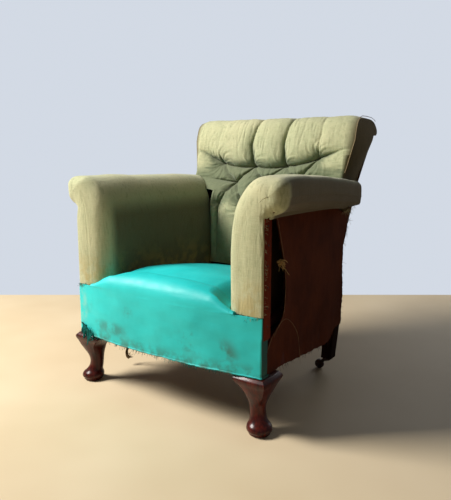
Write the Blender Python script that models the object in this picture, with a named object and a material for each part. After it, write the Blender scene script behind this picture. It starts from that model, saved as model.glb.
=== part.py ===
"""A sagging old club armchair: hardwood frame, sprung seat, buttoned back and scrolled arms.

Metres, +Z up, the chair faces -Y. Every piece is drawn in the frame of the front feet: y is 0 at their
centres and grows towards the back. One empty then moves the whole chair, so that the middle of its
outer box lies on the origin.
"""

from math import cos, pi, sin

import bmesh
import bpy
from mathutils import Matrix, Vector

# Overall sizes
FOOT_SPACING = 0.630  # between the centres of the two front feet
FRONT_REACH = 0.055  # how far the bowed seat front stands ahead of the front feet
BACK_REACH = 0.745  # from the front feet to the back's rolled top edge
TOTAL_HEIGHT = 0.835
SIDE_X = 0.334  # outer face of the sides at the front
TAPER = 0.06  # the plan narrows by this much on each side for each metre towards the back
GAP = 0.0003  # between pieces that touch

# Frame timber
RAIL_BOTTOM = 0.1603
RAIL_HEIGHT = 0.090
RAIL_THICK = 0.045
FRONT_RAIL_THICK = 0.026
POST_THICK = 0.0435  # arm post, across the chair
POST_DEPTH = 0.028  # arm post, front to back
POST_FRONT = -0.012
BLOCK_DEPTH = 0.048  # top block of a front leg
REAR_POST_WIDTH = 0.038
REAR_POST_DEPTH = 0.036
REAR_LEG_END = 0.035  # the rear leg's foot, square
REAR_LEG_BOTTOM = 0.045
REAR_LEG_LEAN = 0.008  # the rear leg's foot lies this much nearer to the middle of the chair
ARM_BOARD_BOTTOM = 0.578
ARM_BOARD_THICK = 0.020
ARM_BOARD_WIDTH = 0.070
STUFFING_RAIL = 0.020  # light rails that the inner cloth is tacked to
ARM_STUFFING_RAIL_BOTTOM = 0.270
BACK_STUFFING_RAIL_BOTTOM = 0.300
CREST_RAIL_HEIGHT = 0.040

# Rear line of the back: upright up to the bend, then raked
REAR_Y = 0.527
BEND_Z = 0.42
CREST_PADDING = 0.0595  # stuffing above the crest rail
CREST_OVERHANG = 0.030  # the rolled top reaches this far behind the crest rail

# Front leg
KNEE_TOP = 0.1595
KNEE_SIZE = 0.095
KNEE_FRONT = -0.023
FOOT_RADIUS = 0.034
FOOT_HEIGHT = 0.024
ANKLE_RADIUS = 0.022
ANKLE_HEIGHT = 0.062

# Cloth, webbing and springs
LINING_THICK = 0.002
CANVAS_THICK = 0.0015
WEB_THICK = 0.003
WEB_WIDTH = 0.050
WEB_STRIPS = 4
SPRING_RADIUS = 0.042
SPRING_WAIST = 0.026
SPRING_WIRE = 0.004
SPRING_TURNS = 3.5
SPRING_ROWS = 3
SPRING_PITCH = 0.130  # across the chair
SPRING_FIRST_Y = 0.085
SPRING_REAR_SPACE = 0.1034  # from the rear posts to the middle of the last row
SPRING_TOP = 0.2745

# Seat
COVER_THICK = 0.0034
APRON_THICK = 0.005
APRON_BOTTOM = 0.160
APRON_TOP = 0.316
APRON_WRAP = 0.024  # the seat cover turns this far round each front corner
WRAP_TOP = 0.26
SEAT_BOW = 0.030  # the seat front bows forward by this much in the middle
CORNER_Y = -0.025
SEAT_SIDE_TOP = 0.358
SEAT_REAR_TOP = 0.316
SEAT_CROWN = 0.024
SEAT_EDGE_RADIUS = 0.040
SEAT_CLEARANCE = 0.0045  # between the seat and each arm

# Arms
ARM_INNER_X = 0.225
ARM_FRONT_ROUND = 0.055
ARM_OUT_X = 0.387
ARM_ROLL_TAPER = 0.014  # the roll grows slimmer by this much towards the back
ARM_CREST_X = 0.311
ARM_PADDING = 0.049  # stuffing above the arm board
ARM_LIP_DROP = 0.022  # the roll turns in this far below the arm board
ARM_FRONT_BOTTOM = 0.3185
ARM_BOTTOM = 0.262
ARM_END = 0.575
LEFT_ARM_SAG = 0.028

# Back
BACK_FRONT_Y = 0.468
BACK_BOTTOM = 0.325
BACK_OVER_BOARD = 0.002  # the back spreads out this far above the arm boards
BACK_STEP = 0.015  # height over which it spreads
BACK_SHOULDER = 0.050  # height over which its front leans back above the arms
ROLL_HEIGHT = 0.039  # the front's height that turns over into the rolled top
BORDER_THICK = 0.0029  # cloth and wadding outside the rear posts
BACK_SPREAD = 0.021  # the top is wider than the shoulders by this much on each side
BORDER_LAP = 0.020  # the border strip laps this far into the stuffing
BUTTON_RADIUS = 0.010
BUTTON_THICK = 0.005
BUTTON_SINK = 0.022
BUTTON_PITCH = 0.128
BUTTON_LOW_PITCH = 0.110

# Castors
WHEEL_RADIUS = 0.0155
WHEEL_WIDTH = 0.013
CASTOR_TRAIL = 0.030
AXLE_RADIUS = 0.0025
RUNNING = 0.0003  # running clearance round the axle and the stem
CHEEK = 0.0022
CHEEK_SPACE = 0.0008
STEM_RADIUS = 0.004
STEM_HEAD = 0.0015
CASTOR_PLATE = 0.003

# What follows from the sizes above
FRAME_X = SIDE_X - LINING_THICK - 2 * GAP  # outer face of the timber at the front
RAIL_TOP = RAIL_BOTTOM + RAIL_HEIGHT
POST_INNER_X = FRAME_X - POST_THICK
REAR_POST_FRONT = REAR_Y - LINING_THICK - 2 * GAP - REAR_POST_DEPTH
REAR_POST_OUT = FRAME_X - TAPER * REAR_Y - GAP
REAR_POST_IN = REAR_POST_OUT - REAR_POST_WIDTH
STEM_X = REAR_POST_OUT - REAR_POST_WIDTH / 2 - REAR_LEG_LEAN  # middle of the rear leg's foot
STEM_Y = REAR_POST_FRONT + REAR_POST_DEPTH / 2 - REAR_LEG_LEAN / 2
ARM_BOARD_TOP = ARM_BOARD_BOTTOM + ARM_BOARD_THICK
CREST_TOP = TOTAL_HEIGHT - CREST_PADDING
CREST_REAR_Y = BACK_REACH - CREST_OVERHANG
RAKE = (CREST_REAR_Y - REAR_Y) / (CREST_TOP - BEND_Z)
ARM_TOP = ARM_BOARD_TOP + ARM_PADDING
ARM_LIP = ARM_BOARD_BOTTOM - ARM_LIP_DROP
BACK_WIDE_FROM = ARM_BOARD_TOP + BACK_OVER_BOARD
BACK_WIDE_X = FRAME_X - TAPER * (REAR_Y + RAKE * (BACK_WIDE_FROM - BEND_Z)) + BORDER_THICK
BACK_TOP_X = BACK_WIDE_X + BACK_SPREAD
MIDDLE_Y = (BACK_REACH - FRONT_REACH) / 2

for leftover in list(bpy.data.objects):
    bpy.data.objects.remove(leftover, do_unlink=True)

chair = bpy.data.objects.new("chair", None)
chair.location = (0, -MIDDLE_Y, 0)
bpy.context.scene.collection.objects.link(chair)


# Materials

def material(name, colour, roughness, metallic=0.0):
    made = bpy.data.materials.new(name)
    made.use_nodes = True
    shader = made.node_tree.nodes["Principled BSDF"]
    shader.inputs["Base Color"].default_value = (*colour, 1)
    shader.inputs["Roughness"].default_value = roughness
    shader.inputs["Metallic"].default_value = metallic
    return made


MAHOGANY = material("mahogany", (0.10, 0.022, 0.012), 0.25)
FRAME_WOOD = material("frame wood", (0.22, 0.12, 0.06), 0.75)
GREEN_CLOTH = material("green cloth", (0.36, 0.37, 0.20), 0.9)
LEATHERCLOTH = material("turquoise leathercloth", (0.05, 0.62, 0.54), 0.4)
LINING = material("brown lining", (0.09, 0.03, 0.015), 0.95)
CANVAS = material("hessian", (0.30, 0.20, 0.11), 0.95)
WEBBING = material("webbing", (0.24, 0.17, 0.10), 0.95)
STRAW = material("straw", (0.60, 0.42, 0.20), 0.9)
SPRING_STEEL = material("spring steel", (0.25, 0.22, 0.20), 0.5, 0.9)
DARK_IRON = material("dark iron", (0.06, 0.05, 0.045), 0.45, 0.9)


# Helpers

def link(name, mesh, finish, smooth=True):
    made = bpy.data.objects.new(name, mesh)
    mesh.materials.append(finish)
    bpy.context.scene.collection.objects.link(made)
    made.parent = chair
    if smooth:
        mesh.shade_smooth()
        mesh.set_sharp_from_angle(angle=0.6)
    return made


def loft(name, rings, finish, fill=None, smooth=True):
    """A closed solid through rings of equally many points, with its two end rings filled."""
    shape = bmesh.new()
    made = [[shape.verts.new(p) for p in ring] for ring in rings]
    for one, other in zip(made, made[1:]):
        for i in range(len(one)):
            j = (i + 1) % len(one)
            shape.faces.new((one[i], one[j], other[j], other[i]))
    for ring in (made[0], made[-1]):
        if fill:
            fill(shape, ring)
        else:
            shape.faces.new(ring)
    bmesh.ops.recalc_face_normals(shape, faces=shape.faces)
    mesh = bpy.data.meshes.new(name)
    shape.to_mesh(mesh)
    shape.free()
    return link(name, mesh, finish, smooth)


def between(low, high, shares):
    """Values at the given shares of the way from low to high."""
    return [low + (high - low) * share for share in shares]


def fill_across(shape, ring):
    """Fills a ring whose second half runs back beside its first, with quads between the halves."""
    last = len(ring) - 1
    for i in range(len(ring) // 2 - 1):
        shape.faces.new((ring[i], ring[i + 1], ring[last - i - 1], ring[last - i]))


def mirrored(points, side):
    return [Vector((side * x, y, z)) for x, y, z in points]


def tapered(x, y):
    return x - TAPER * y


def beam(name, side, section, y0, y1, finish):
    """A straight member of XZ section between two stations, following the side's taper."""
    rings = [[(tapered(x, y), y, z) for x, z in section] for y in (y0, y1)]
    return loft(name, [mirrored(ring, side) for ring in rings], finish, smooth=False)


def block(name, low, high, finish):
    (x0, y0, z0), (x1, y1, z1) = low, high
    rings = [[(x, y0, z0), (x, y1, z0), (x, y1, z1), (x, y0, z1)] for x in (x0, x1)]
    return loft(name, rings, finish, smooth=False)


def rectangle(x0, x1, z0, z1):
    return [(x0, z0), (x1, z0), (x1, z1), (x0, z1)]


def combine(target, other, how):
    """Joins another shape to the target, or cuts it away, and hides the other shape."""
    other.hide_render = True
    other.display_type = "WIRE"
    change = target.modifiers.new(how.lower(), "BOOLEAN")
    change.operation = how
    change.solver = "EXACT"
    change.object = other
    return target


def turned(name, profile, centre, axis, finish, sides=20):
    """A turned solid: profile holds (radius, height) pairs, the first and last on the axis."""
    shape = bmesh.new()
    rings = []
    for radius, height in profile[1:-1]:
        steps = [2 * pi * i / sides for i in range(sides)]
        rings.append([shape.verts.new((radius * cos(a), radius * sin(a), height)) for a in steps])
    for one, other in zip(rings, rings[1:]):
        for i in range(sides):
            j = (i + 1) % sides
            shape.faces.new((one[i], one[j], other[j], other[i]))
    for ring, (_, height) in ((rings[0], profile[0]), (rings[-1], profile[-1])):
        tip = shape.verts.new((0, 0, height))
        for i in range(sides):
            shape.faces.new((ring[i], ring[(i + 1) % sides], tip))
    bmesh.ops.recalc_face_normals(shape, faces=shape.faces)
    turn = Vector((0, 0, 1)).rotation_difference(Vector(axis)).to_matrix().to_4x4()
    shape.transform(Matrix.Translation(centre) @ turn)
    mesh = bpy.data.meshes.new(name)
    shape.to_mesh(mesh)
    shape.free()
    return link(name, mesh, finish)


def cylinder(name, radius, low, high, centre, axis, finish, sides=20):
    profile = [(0, low), (radius, low), (radius, high), (0, high)]
    return turned(name, profile, centre, axis, finish, sides)


def rear_line(z):
    """Outer face of the back lining at a height."""
    return REAR_Y + RAKE * max(z - BEND_Z, 0)


def along(points, at):
    """Straight interpolation through (place, value) pairs."""
    if at <= points[0][0]:
        return points[0][1]
    for (p0, v0), (p1, v1) in zip(points, points[1:]):
        if at <= p1:
            return v0 + (v1 - v0) * (at - p0) / (p1 - p0)
    return points[-1][1]


# Front legs: a square knee, a slim ankle and a pad foot, bent along the outward diagonal

def leg_ring(side, z, bend, half, squareness, sides=24):
    """One ring of a cabriole leg. Squareness 1 is a square, 0 a circle of the same half width."""
    knee = KNEE_SIZE / 2
    shift_x = FOOT_SPACING / 2 - (FRAME_X - knee)
    shift_y = KNEE_FRONT + knee
    centre = Vector((FOOT_SPACING / 2 - bend * shift_x, bend * shift_y, z))
    ring = []
    for i in range(sides):
        angle = 2 * pi * (i + 0.5) / sides
        reach = max(abs(cos(angle)), abs(sin(angle)))
        radius = half * (1 + squareness * (1 / reach - 1))
        ring.append(centre + Vector((radius * cos(angle), radius * sin(angle), 0)))
    return mirrored(ring, side)


def front_leg(name, side):
    knee = KNEE_SIZE / 2
    rise = KNEE_TOP - ANKLE_HEIGHT
    stations = [
        (0.000, 0.00, FOOT_RADIUS * 0.70, 0),
        (FOOT_HEIGHT * 0.25, 0.00, FOOT_RADIUS * 0.90, 0),
        (FOOT_HEIGHT * 0.58, 0.00, FOOT_RADIUS, 0),
        (FOOT_HEIGHT, 0.03, FOOT_RADIUS * 0.95, 0),
        ((FOOT_HEIGHT + ANKLE_HEIGHT) * 0.40, 0.13, FOOT_RADIUS * 0.76, 0),
        (ANKLE_HEIGHT * 0.75, 0.26, ANKLE_RADIUS * 1.05, 0),
        (ANKLE_HEIGHT, 0.33, ANKLE_RADIUS, 0),
        (ANKLE_HEIGHT + rise * 0.20, 0.36, ANKLE_RADIUS * 1.06, 0.2),
        (ANKLE_HEIGHT + rise * 0.39, 0.42, ANKLE_RADIUS * 1.27, 0.45),
        (ANKLE_HEIGHT + rise * 0.57, 0.54, ANKLE_RADIUS * 1.55, 0.7),
        (ANKLE_HEIGHT + rise * 0.74, 0.72, knee * 0.87, 0.9),
        (ANKLE_HEIGHT + rise * 0.88, 0.92, knee * 0.97, 1),
        (KNEE_TOP, 1.00, knee, 1),
    ]
    rings = [leg_ring(side, z, bend, half, square) for z, bend, half, square in stations]
    leg = loft(name, rings, MAHOGANY)
    section = rectangle(POST_INNER_X, FRAME_X, KNEE_TOP - 0.010, RAIL_TOP)
    top = beam(name + "_top_block", side, section, POST_FRONT, POST_FRONT + BLOCK_DEPTH, MAHOGANY)
    return combine(leg, top, "UNION")


# Rear posts: the leg, the upright and the raked back stile in one piece of timber

def post_out(z):
    """Outer face of a rear post, which closes in as it rakes back."""
    return tapered(FRAME_X, rear_line(z)) - GAP


def rear_post(name, side):
    foot = REAR_LEG_END / 2
    low = [(STEM_X - foot, STEM_Y - foot), (STEM_X + foot, STEM_Y - foot)]
    low += [(STEM_X + foot, STEM_Y + foot), (STEM_X - foot, STEM_Y + foot)]
    rings = [[(x, y, REAR_LEG_BOTTOM) for x, y in low]]
    for z in (RAIL_BOTTOM, BEND_Z, CREST_TOP - GAP):
        front = rear_line(z) - LINING_THICK - 2 * GAP - REAR_POST_DEPTH
        rear = front + REAR_POST_DEPTH
        out = post_out(z)
        inner = out - REAR_POST_WIDTH
        rings.append([(inner, front, z), (out, front, z), (out, rear, z), (inner, rear, z)])
    return loft(name, [mirrored(ring, side) for ring in rings], MAHOGANY, smooth=False)


# Castors: a plate with a headed stem, a swivelling horn, an axle pin and a wheel

HORN_HALF = WHEEL_WIDTH / 2 + CHEEK_SPACE + CHEEK
PLATE_BOTTOM = REAR_LEG_BOTTOM - GAP - CASTOR_PLATE
HORN_TOP = PLATE_BOTTOM - GAP
HORN_BRIDGE = 0.0045
BRIDGE_BOTTOM = HORN_TOP - HORN_BRIDGE


def castor(hand, side):
    stem = Vector((side * STEM_X, STEM_Y, 0))
    axle = stem + Vector((-side * CASTOR_TRAIL, 0, WHEEL_RADIUS))
    up = (0, 0, 1)
    across = (0, 1, 0)
    head_bottom = BRIDGE_BOTTOM - GAP - STEM_HEAD
    turned(
        "castor_plate_" + hand,
        [
            (0, head_bottom),
            (STEM_RADIUS * 1.6, head_bottom),
            (STEM_RADIUS * 1.6, head_bottom + STEM_HEAD),
            (STEM_RADIUS, head_bottom + STEM_HEAD),
            (STEM_RADIUS, PLATE_BOTTOM),
            (REAR_LEG_END * 0.43, PLATE_BOTTOM),
            (REAR_LEG_END * 0.43, PLATE_BOTTOM + CASTOR_PLATE),
            (0, PLATE_BOTTOM + CASTOR_PLATE),
        ],
        stem,
        up,
        DARK_IRON,
    )
    horn = horn_solid(hand, side, stem, axle)
    for tool, radius, low, high, centre, axis in (
        ("stem", STEM_RADIUS + RUNNING, BRIDGE_BOTTOM - 0.01, HORN_TOP + 0.01, stem, up),
        ("axle", AXLE_RADIUS + GAP, -HORN_HALF - 0.01, HORN_HALF + 0.01, axle, across),
    ):
        hole = cylinder(f"castor_{tool}_hole_{hand}", radius, low, high, centre, axis, DARK_IRON)
        combine(horn, hole, "DIFFERENCE")
    cylinder(
        "castor_pin_" + hand, AXLE_RADIUS, -HORN_HALF - 0.001, HORN_HALF + 0.001, axle, across, DARK_IRON
    )
    wheel = turned(
        "castor_wheel_" + hand,
        [
            (0, -WHEEL_WIDTH / 2),
            (WHEEL_RADIUS * 0.55, -WHEEL_WIDTH / 2),
            (WHEEL_RADIUS * 0.62, -WHEEL_WIDTH * 0.40),
            (WHEEL_RADIUS * 0.88, -WHEEL_WIDTH * 0.40),
            (WHEEL_RADIUS, -WHEEL_WIDTH * 0.28),
            (WHEEL_RADIUS, WHEEL_WIDTH * 0.28),
            (WHEEL_RADIUS * 0.88, WHEEL_WIDTH * 0.40),
            (WHEEL_RADIUS * 0.62, WHEEL_WIDTH * 0.40),
            (WHEEL_RADIUS * 0.55, WHEEL_WIDTH / 2),
            (0, WHEEL_WIDTH / 2),
        ],
        axle,
        across,
        DARK_IRON,
        sides=24,
    )
    bore = cylinder(
        "castor_bore_" + hand, AXLE_RADIUS + RUNNING, -WHEEL_WIDTH, WHEEL_WIDTH, axle, across, DARK_IRON
    )
    combine(wheel, bore, "DIFFERENCE")


def horn_solid(hand, side, stem, axle):
    """Two cheeks that run from under the stem to the axle, joined by a bridge above the wheel."""
    eye = AXLE_RADIUS * 2.2
    nose = STEM_RADIUS * 2.4
    outline = [(nose, HORN_TOP), (-CASTOR_TRAIL * 0.45, HORN_TOP)]
    for i in range(7):
        angle = pi / 2 + pi * i / 6
        outline.append((-CASTOR_TRAIL + eye * cos(angle), WHEEL_RADIUS + eye * sin(angle)))
    outline += [(-CASTOR_TRAIL * 0.30, BRIDGE_BOTTOM - 0.006), (nose, BRIDGE_BOTTOM)]
    cheeks = []
    sides = (("near", -HORN_HALF, -HORN_HALF + CHEEK), ("far", HORN_HALF - CHEEK, HORN_HALF))
    for cheek, low, high in sides:
        rings = [[(stem.x + side * x, stem.y + y, z) for x, z in outline] for y in (low, high)]
        cheeks.append(loft(f"castor_{cheek}_cheek_{hand}", rings, DARK_IRON, smooth=False))
    low_x, high_x = sorted((stem.x + side * nose * 0.98, stem.x - side * CASTOR_TRAIL * 0.42))
    half = HORN_HALF * 0.98
    bridge = block(
        "castor_horn_" + hand,
        (low_x, stem.y - half, BRIDGE_BOTTOM),
        (high_x, stem.y + half, HORN_TOP - 0.0002),
        DARK_IRON,
    )
    for cheek in cheeks:
        combine(bridge, cheek, "UNION")
    return bridge


# Seat, arm and back frame

def front_y(x):
    """The bowed front of the seat cover, in plan."""
    return CORNER_Y - SEAT_BOW * (1 - (x / SIDE_X) ** 2)


def seat_rails():
    inner = POST_INNER_X - GAP
    front = []
    rear = []
    for i in range(13):
        x = inner * (i / 6 - 1)
        y = front_y(x) + APRON_THICK + 3 * GAP
        front.append((x, y))
        rear.append((x, y + FRONT_RAIL_THICK))
    plan = front + rear[::-1]
    rings = [[(x, y, z) for x, y in plan] for z in (RAIL_BOTTOM, RAIL_TOP)]
    loft("front_rail", rings, FRAME_WOOD, fill=fill_across, smooth=False)
    block(
        "back_rail",
        (-REAR_POST_IN + GAP, REAR_POST_FRONT, RAIL_BOTTOM),
        (REAR_POST_IN - GAP, REAR_POST_FRONT + FRONT_RAIL_THICK, RAIL_TOP),
        FRAME_WOOD,
    )


def arm_frame(hand, side):
    start = POST_FRONT + BLOCK_DEPTH + GAP
    end = REAR_POST_FRONT - GAP
    rail = rectangle(FRAME_X - RAIL_THICK, FRAME_X, RAIL_BOTTOM, RAIL_TOP)
    beam("side_rail_" + hand, side, rail, start, end, FRAME_WOOD)
    post = rectangle(POST_INNER_X, FRAME_X, RAIL_TOP + GAP, ARM_BOARD_BOTTOM - GAP)
    beam("front_post_" + hand, side, post, POST_FRONT, POST_FRONT + POST_DEPTH, FRAME_WOOD)
    board = rectangle(POST_INNER_X, POST_INNER_X + ARM_BOARD_WIDTH, ARM_BOARD_BOTTOM, ARM_BOARD_TOP)
    beam("arm_board_" + hand, side, board, POST_FRONT, end, FRAME_WOOD)
    low = rectangle(
        POST_INNER_X,
        POST_INNER_X + STUFFING_RAIL,
        ARM_STUFFING_RAIL_BOTTOM,
        ARM_STUFFING_RAIL_BOTTOM + STUFFING_RAIL,
    )
    beam("arm_stuffing_rail_" + hand, side, low, POST_FRONT + POST_DEPTH + GAP, end, FRAME_WOOD)
    canvas_out = POST_INNER_X - GAP
    sheet = rectangle(canvas_out - CANVAS_THICK, canvas_out, ARM_BOTTOM, ARM_BOARD_TOP)
    beam("arm_canvas_" + hand, side, sheet, POST_FRONT, end, CANVAS)


def back_frame():
    depth = STUFFING_RAIL
    for name, low, height in (
        ("crest_rail", CREST_TOP - CREST_RAIL_HEIGHT, CREST_RAIL_HEIGHT - GAP),
        ("back_stuffing_rail", BACK_STUFFING_RAIL_BOTTOM, STUFFING_RAIL),
    ):
        rings = []
        for side in (-1, 1):
            ring = []
            for z, back in ((low, 0), (low, depth), (low + height, depth), (low + height, 0)):
                face = rear_line(z) - LINING_THICK - 2 * GAP - REAR_POST_DEPTH
                ring.append((side * (post_out(z) - REAR_POST_WIDTH - GAP), face + back, z))
            rings.append(ring)
        loft(name, rings, FRAME_WOOD, smooth=False)
    canvas = []
    wide = tapered(POST_INNER_X, REAR_Y) - CANVAS_THICK - 3 * GAP
    heights = (BACK_STUFFING_RAIL_BOTTOM, BEND_Z, BACK_WIDE_FROM - BACK_STEP, BACK_WIDE_FROM, CREST_TOP)
    for side in (-1, 1):
        ring = [(side * min(back_half(z), wide), pad_rear(z) + GAP, z) for z in heights]
        ring += [(x, y + CANVAS_THICK, z) for x, y, z in ring[::-1]]
        canvas.append(ring)
    loft("back_canvas", canvas, CANVAS, fill=fill_across, smooth=False)


def pad_rear(z):
    """The rear face of the back's stuffing, just ahead of the canvas and the posts."""
    return rear_line(z) - LINING_THICK - 4 * GAP - REAR_POST_DEPTH - CANVAS_THICK


# Webbing and springs

def webbing():
    low = RAIL_BOTTOM - GAP - WEB_THICK
    high = low + WEB_THICK
    rear = REAR_POST_FRONT + FRONT_RAIL_THICK
    width = POST_INNER_X - KNEE_SIZE / 2
    base = None
    for i in range(WEB_STRIPS):
        x = width * 0.80 * (2 * i / (WEB_STRIPS - 1) - 1)
        name = "seat_webbing" if i == 0 else f"webbing_lengthwise_{i}"
        start = front_y(x) + APRON_THICK + 3 * GAP
        strip = block(name, (x - WEB_WIDTH / 2, start, low), (x + WEB_WIDTH / 2, rear, high), WEBBING)
        base = base or strip
        if strip is not base:
            combine(base, strip, "UNION")
    first = KNEE_FRONT + KNEE_SIZE + WEB_WIDTH / 2 + 0.004
    last = REAR_POST_FRONT - WEB_WIDTH / 2 - 0.01
    for i in range(WEB_STRIPS):
        y = first + (last - first) * i / (WEB_STRIPS - 1)
        reach = tapered(FRAME_X, y) - 0.008
        strip = block(
            f"webbing_crosswise_{i}",
            (-reach, y - WEB_WIDTH / 2, low + 0.0004),
            (reach, y + WEB_WIDTH / 2, high - 0.0004),
            WEBBING,
        )
        combine(base, strip, "UNION")


def spring(name, x, y):
    """An hourglass coil of round wire that stands on the webbing."""
    curve = bpy.data.curves.new(name, "CURVE")
    curve.dimensions = "3D"
    curve.bevel_depth = SPRING_WIRE / 2
    curve.bevel_resolution = 1
    curve.use_fill_caps = True
    low = RAIL_BOTTOM - GAP + SPRING_WIRE / 2 + GAP
    high = SPRING_TOP - SPRING_WIRE / 2
    count = int(SPRING_TURNS * 10) + 1
    line = curve.splines.new("POLY")
    line.points.add(count - 1)
    for i in range(count):
        t = i / (count - 1)
        angle = 2 * pi * SPRING_TURNS * t
        pinch = sin(pi * t)
        radius = SPRING_RADIUS + (SPRING_WAIST - SPRING_RADIUS) * pinch
        height = low + (high - low) * t
        line.points[i].co = (x + radius * cos(angle), y + radius * sin(angle), height, 1)
    made = bpy.data.objects.new(name, curve)
    curve.materials.append(SPRING_STEEL)
    bpy.context.scene.collection.objects.link(made)
    made.parent = chair


def springs():
    last_y = REAR_POST_FRONT - SPRING_REAR_SPACE
    for row in range(SPRING_ROWS):
        for column in range(SPRING_ROWS):
            x = SPRING_PITCH * (column - (SPRING_ROWS - 1) / 2)
            y = SPRING_FIRST_Y + (last_y - SPRING_FIRST_Y) * row / (SPRING_ROWS - 1)
            spring(f"seat_spring_{row + 1}{column + 1}", x, y)


# Seat

def arm_inner(y):
    """Inner face of an arm before the taper: it rounds away from the middle towards the front."""
    reach = min(max((y - CORNER_Y) / ARM_FRONT_ROUND, 0), 1)
    return ARM_INNER_X + ARM_FRONT_ROUND * (1 - (1 - (1 - reach) ** 2) ** 0.5)


def seat_half(y):
    return tapered(arm_inner(y) - SEAT_CLEARANCE, y)


def seat_top(s, y):
    """Height of the seat's top at a share s of the half width, 1 being against the arm."""
    drop = SEAT_SIDE_TOP - SEAT_REAR_TOP
    sag = along(((0.0, 0.14), (0.06, 0.0), (0.18, 0.10), (0.33, 0.52), (0.46, 1.0)), y)
    side = SEAT_SIDE_TOP - drop * sag
    fade = along(((-0.05, 0.55), (0.06, 1.0), (0.30, 0.8), (0.46, 0.3)), y)
    return side + SEAT_CROWN * fade * (1 - s * s)


def seat_profile(s, drop):
    """Points (y, z) from the front edge to the back, sunk by drop below the cover's surface."""
    edge = front_y(s * seat_half(CORNER_Y)) + 0.0008
    top = seat_top(s, 0.0)
    points = []
    for i in range(6):
        angle = pi / 2 * i / 5
        reach = SEAT_EDGE_RADIUS - drop
        y = edge + SEAT_EDGE_RADIUS - reach * cos(angle)
        points.append((y, top - SEAT_EDGE_RADIUS + reach * sin(angle)))
    for y in between(0.02, REAR_POST_FRONT - 0.026, (0, 0.11, 0.27, 0.45, 0.63, 0.81, 1)):
        points.append((y, seat_top(s, y) - drop))
    return points


def seat_ring(s, outer, inner):
    ring = []
    for y, z in outer + inner[::-1]:
        ring.append((s * seat_half(max(y + SEAT_CLEARANCE, CORNER_Y)), y, z))
    return ring


def seat_cover():
    steps = 12
    rings = []
    for i in range(steps + 1):
        s = 2 * i / steps - 1
        outer = seat_profile(s, 0)
        inner = seat_profile(s, COVER_THICK)
        low = APRON_TOP - 0.02
        outer = [(outer[0][0], low)] + outer
        inner = [(inner[0][0], low)] + inner
        rings.append(seat_ring(s, outer, inner))
    cover = loft("seat_cover", rings, LEATHERCLOTH, fill=fill_across)
    front = []
    rear = []
    for i in range(19):
        x = (SIDE_X + 0.001) * (i / 9 - 1)
        front.append((x, front_y(x)))
        rear.append((x, front_y(x) + APRON_THICK))
    plan = front + rear[::-1]
    rings = [[(x, y, z) for x, y in plan] for z in (APRON_BOTTOM, APRON_TOP)]
    combine(cover, loft("seat_apron", rings, LEATHERCLOTH, fill=fill_across), "UNION")
    for hand, side in (("left", -1), ("right", 1)):
        section = rectangle(FRAME_X + GAP, SIDE_X + 0.0005, APRON_BOTTOM + 0.0005, WRAP_TOP)
        ends = (CORNER_Y + 0.002, CORNER_Y + APRON_WRAP + 0.002)
        wrap = beam("seat_cover_wrap_" + hand, side, section, *ends, LEATHERCLOTH)
        combine(cover, wrap, "UNION")
    return cover


def seat_stuffing():
    steps = 8
    rings = []
    drop = COVER_THICK + 3 * GAP
    floor = SPRING_TOP + GAP + CANVAS_THICK + GAP
    for i in range(steps + 1):
        s = (2 * i / steps - 1) * 0.985
        outer = seat_profile(s, drop)
        start = outer[0][0] + APRON_THICK - COVER_THICK
        outer[0] = (start, outer[0][1])
        inner = []
        for n, (y, _) in enumerate(outer):
            inner.append((max(y, start), floor if y > 0 else RAIL_TOP + GAP))
        inner[0] = (start, RAIL_TOP + GAP)
        rings.append(seat_ring(s, outer, inner))
    return loft("seat_stuffing", rings, STRAW, fill=fill_across)


def seat_canvas():
    """Hessian over the springs, tacked down on the side rails."""
    flat = RAIL_TOP + GAP
    raised = SPRING_TOP + GAP
    over_springs = SPRING_PITCH + SPRING_RADIUS + 0.024
    reach = FRAME_X - RAIL_THICK + 0.0136
    half = ((over_springs, raised), (ARM_INNER_X - 0.003, flat), (reach, flat))
    across = [(-x, z) for x, z in half[::-1]] + list(half)
    rings = []
    for y in (POST_FRONT + POST_DEPTH + 0.004, REAR_POST_FRONT - 0.001):
        shift = TAPER * y
        upper = [(x - shift * (x > 0) + shift * (x < 0), y, z + CANVAS_THICK) for x, z in across]
        lower = [(x - shift * (x > 0) + shift * (x < 0), y, z) for x, z in across]
        rings.append(upper + lower[::-1])
    return loft("seat_canvas", rings, CANVAS, fill=fill_across, smooth=False)


# Arms

def arm_section(y, sag, front):
    """Outline (x, z) of a whole arm at a station, from the inner foot up, over the roll and down."""
    inner = arm_inner(y)
    roll = ARM_OUT_X - ARM_ROLL_TAPER * max(y, 0) / ARM_END
    if front:
        roll -= 0.003
    lift = ARM_TOP - sag
    face = between(ARM_FRONT_BOTTOM, ARM_TOP, (0.126, 0.339, 0.522, 0.690, 0.814))
    bottom = along(((0.032, ARM_FRONT_BOTTOM), (0.040, ARM_BOTTOM)), y)
    points = [
        (inner, bottom),
        (inner, face[0]),
        (inner - 0.001, face[1]),
        (inner, face[2]),
        (inner + 0.006, face[3]),
        (inner + 0.018, face[4]),
        (inner + 0.040, lift - 0.028),
        (inner + 0.062, lift - 0.009),
        (ARM_CREST_X, lift),
        (ARM_CREST_X + 0.036, lift + 0.001),
        (roll - 0.012, lift - 0.005),
        (roll - 0.002, lift - 0.020),
        (roll, ARM_LIP + 0.044),
        (roll - 0.005, ARM_LIP + 0.022),
        (roll - 0.017, ARM_LIP + 0.008),
        (roll - 0.035, ARM_LIP),
        (SIDE_X + 0.0005, ARM_LIP - 0.006),
        (SIDE_X, ARM_LIP - 0.056),
        (SIDE_X, ARM_LIP - 0.136),
        (SIDE_X, bottom),
    ]
    return [(max(x, inner - 0.001), z) for x, z in points]


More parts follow.
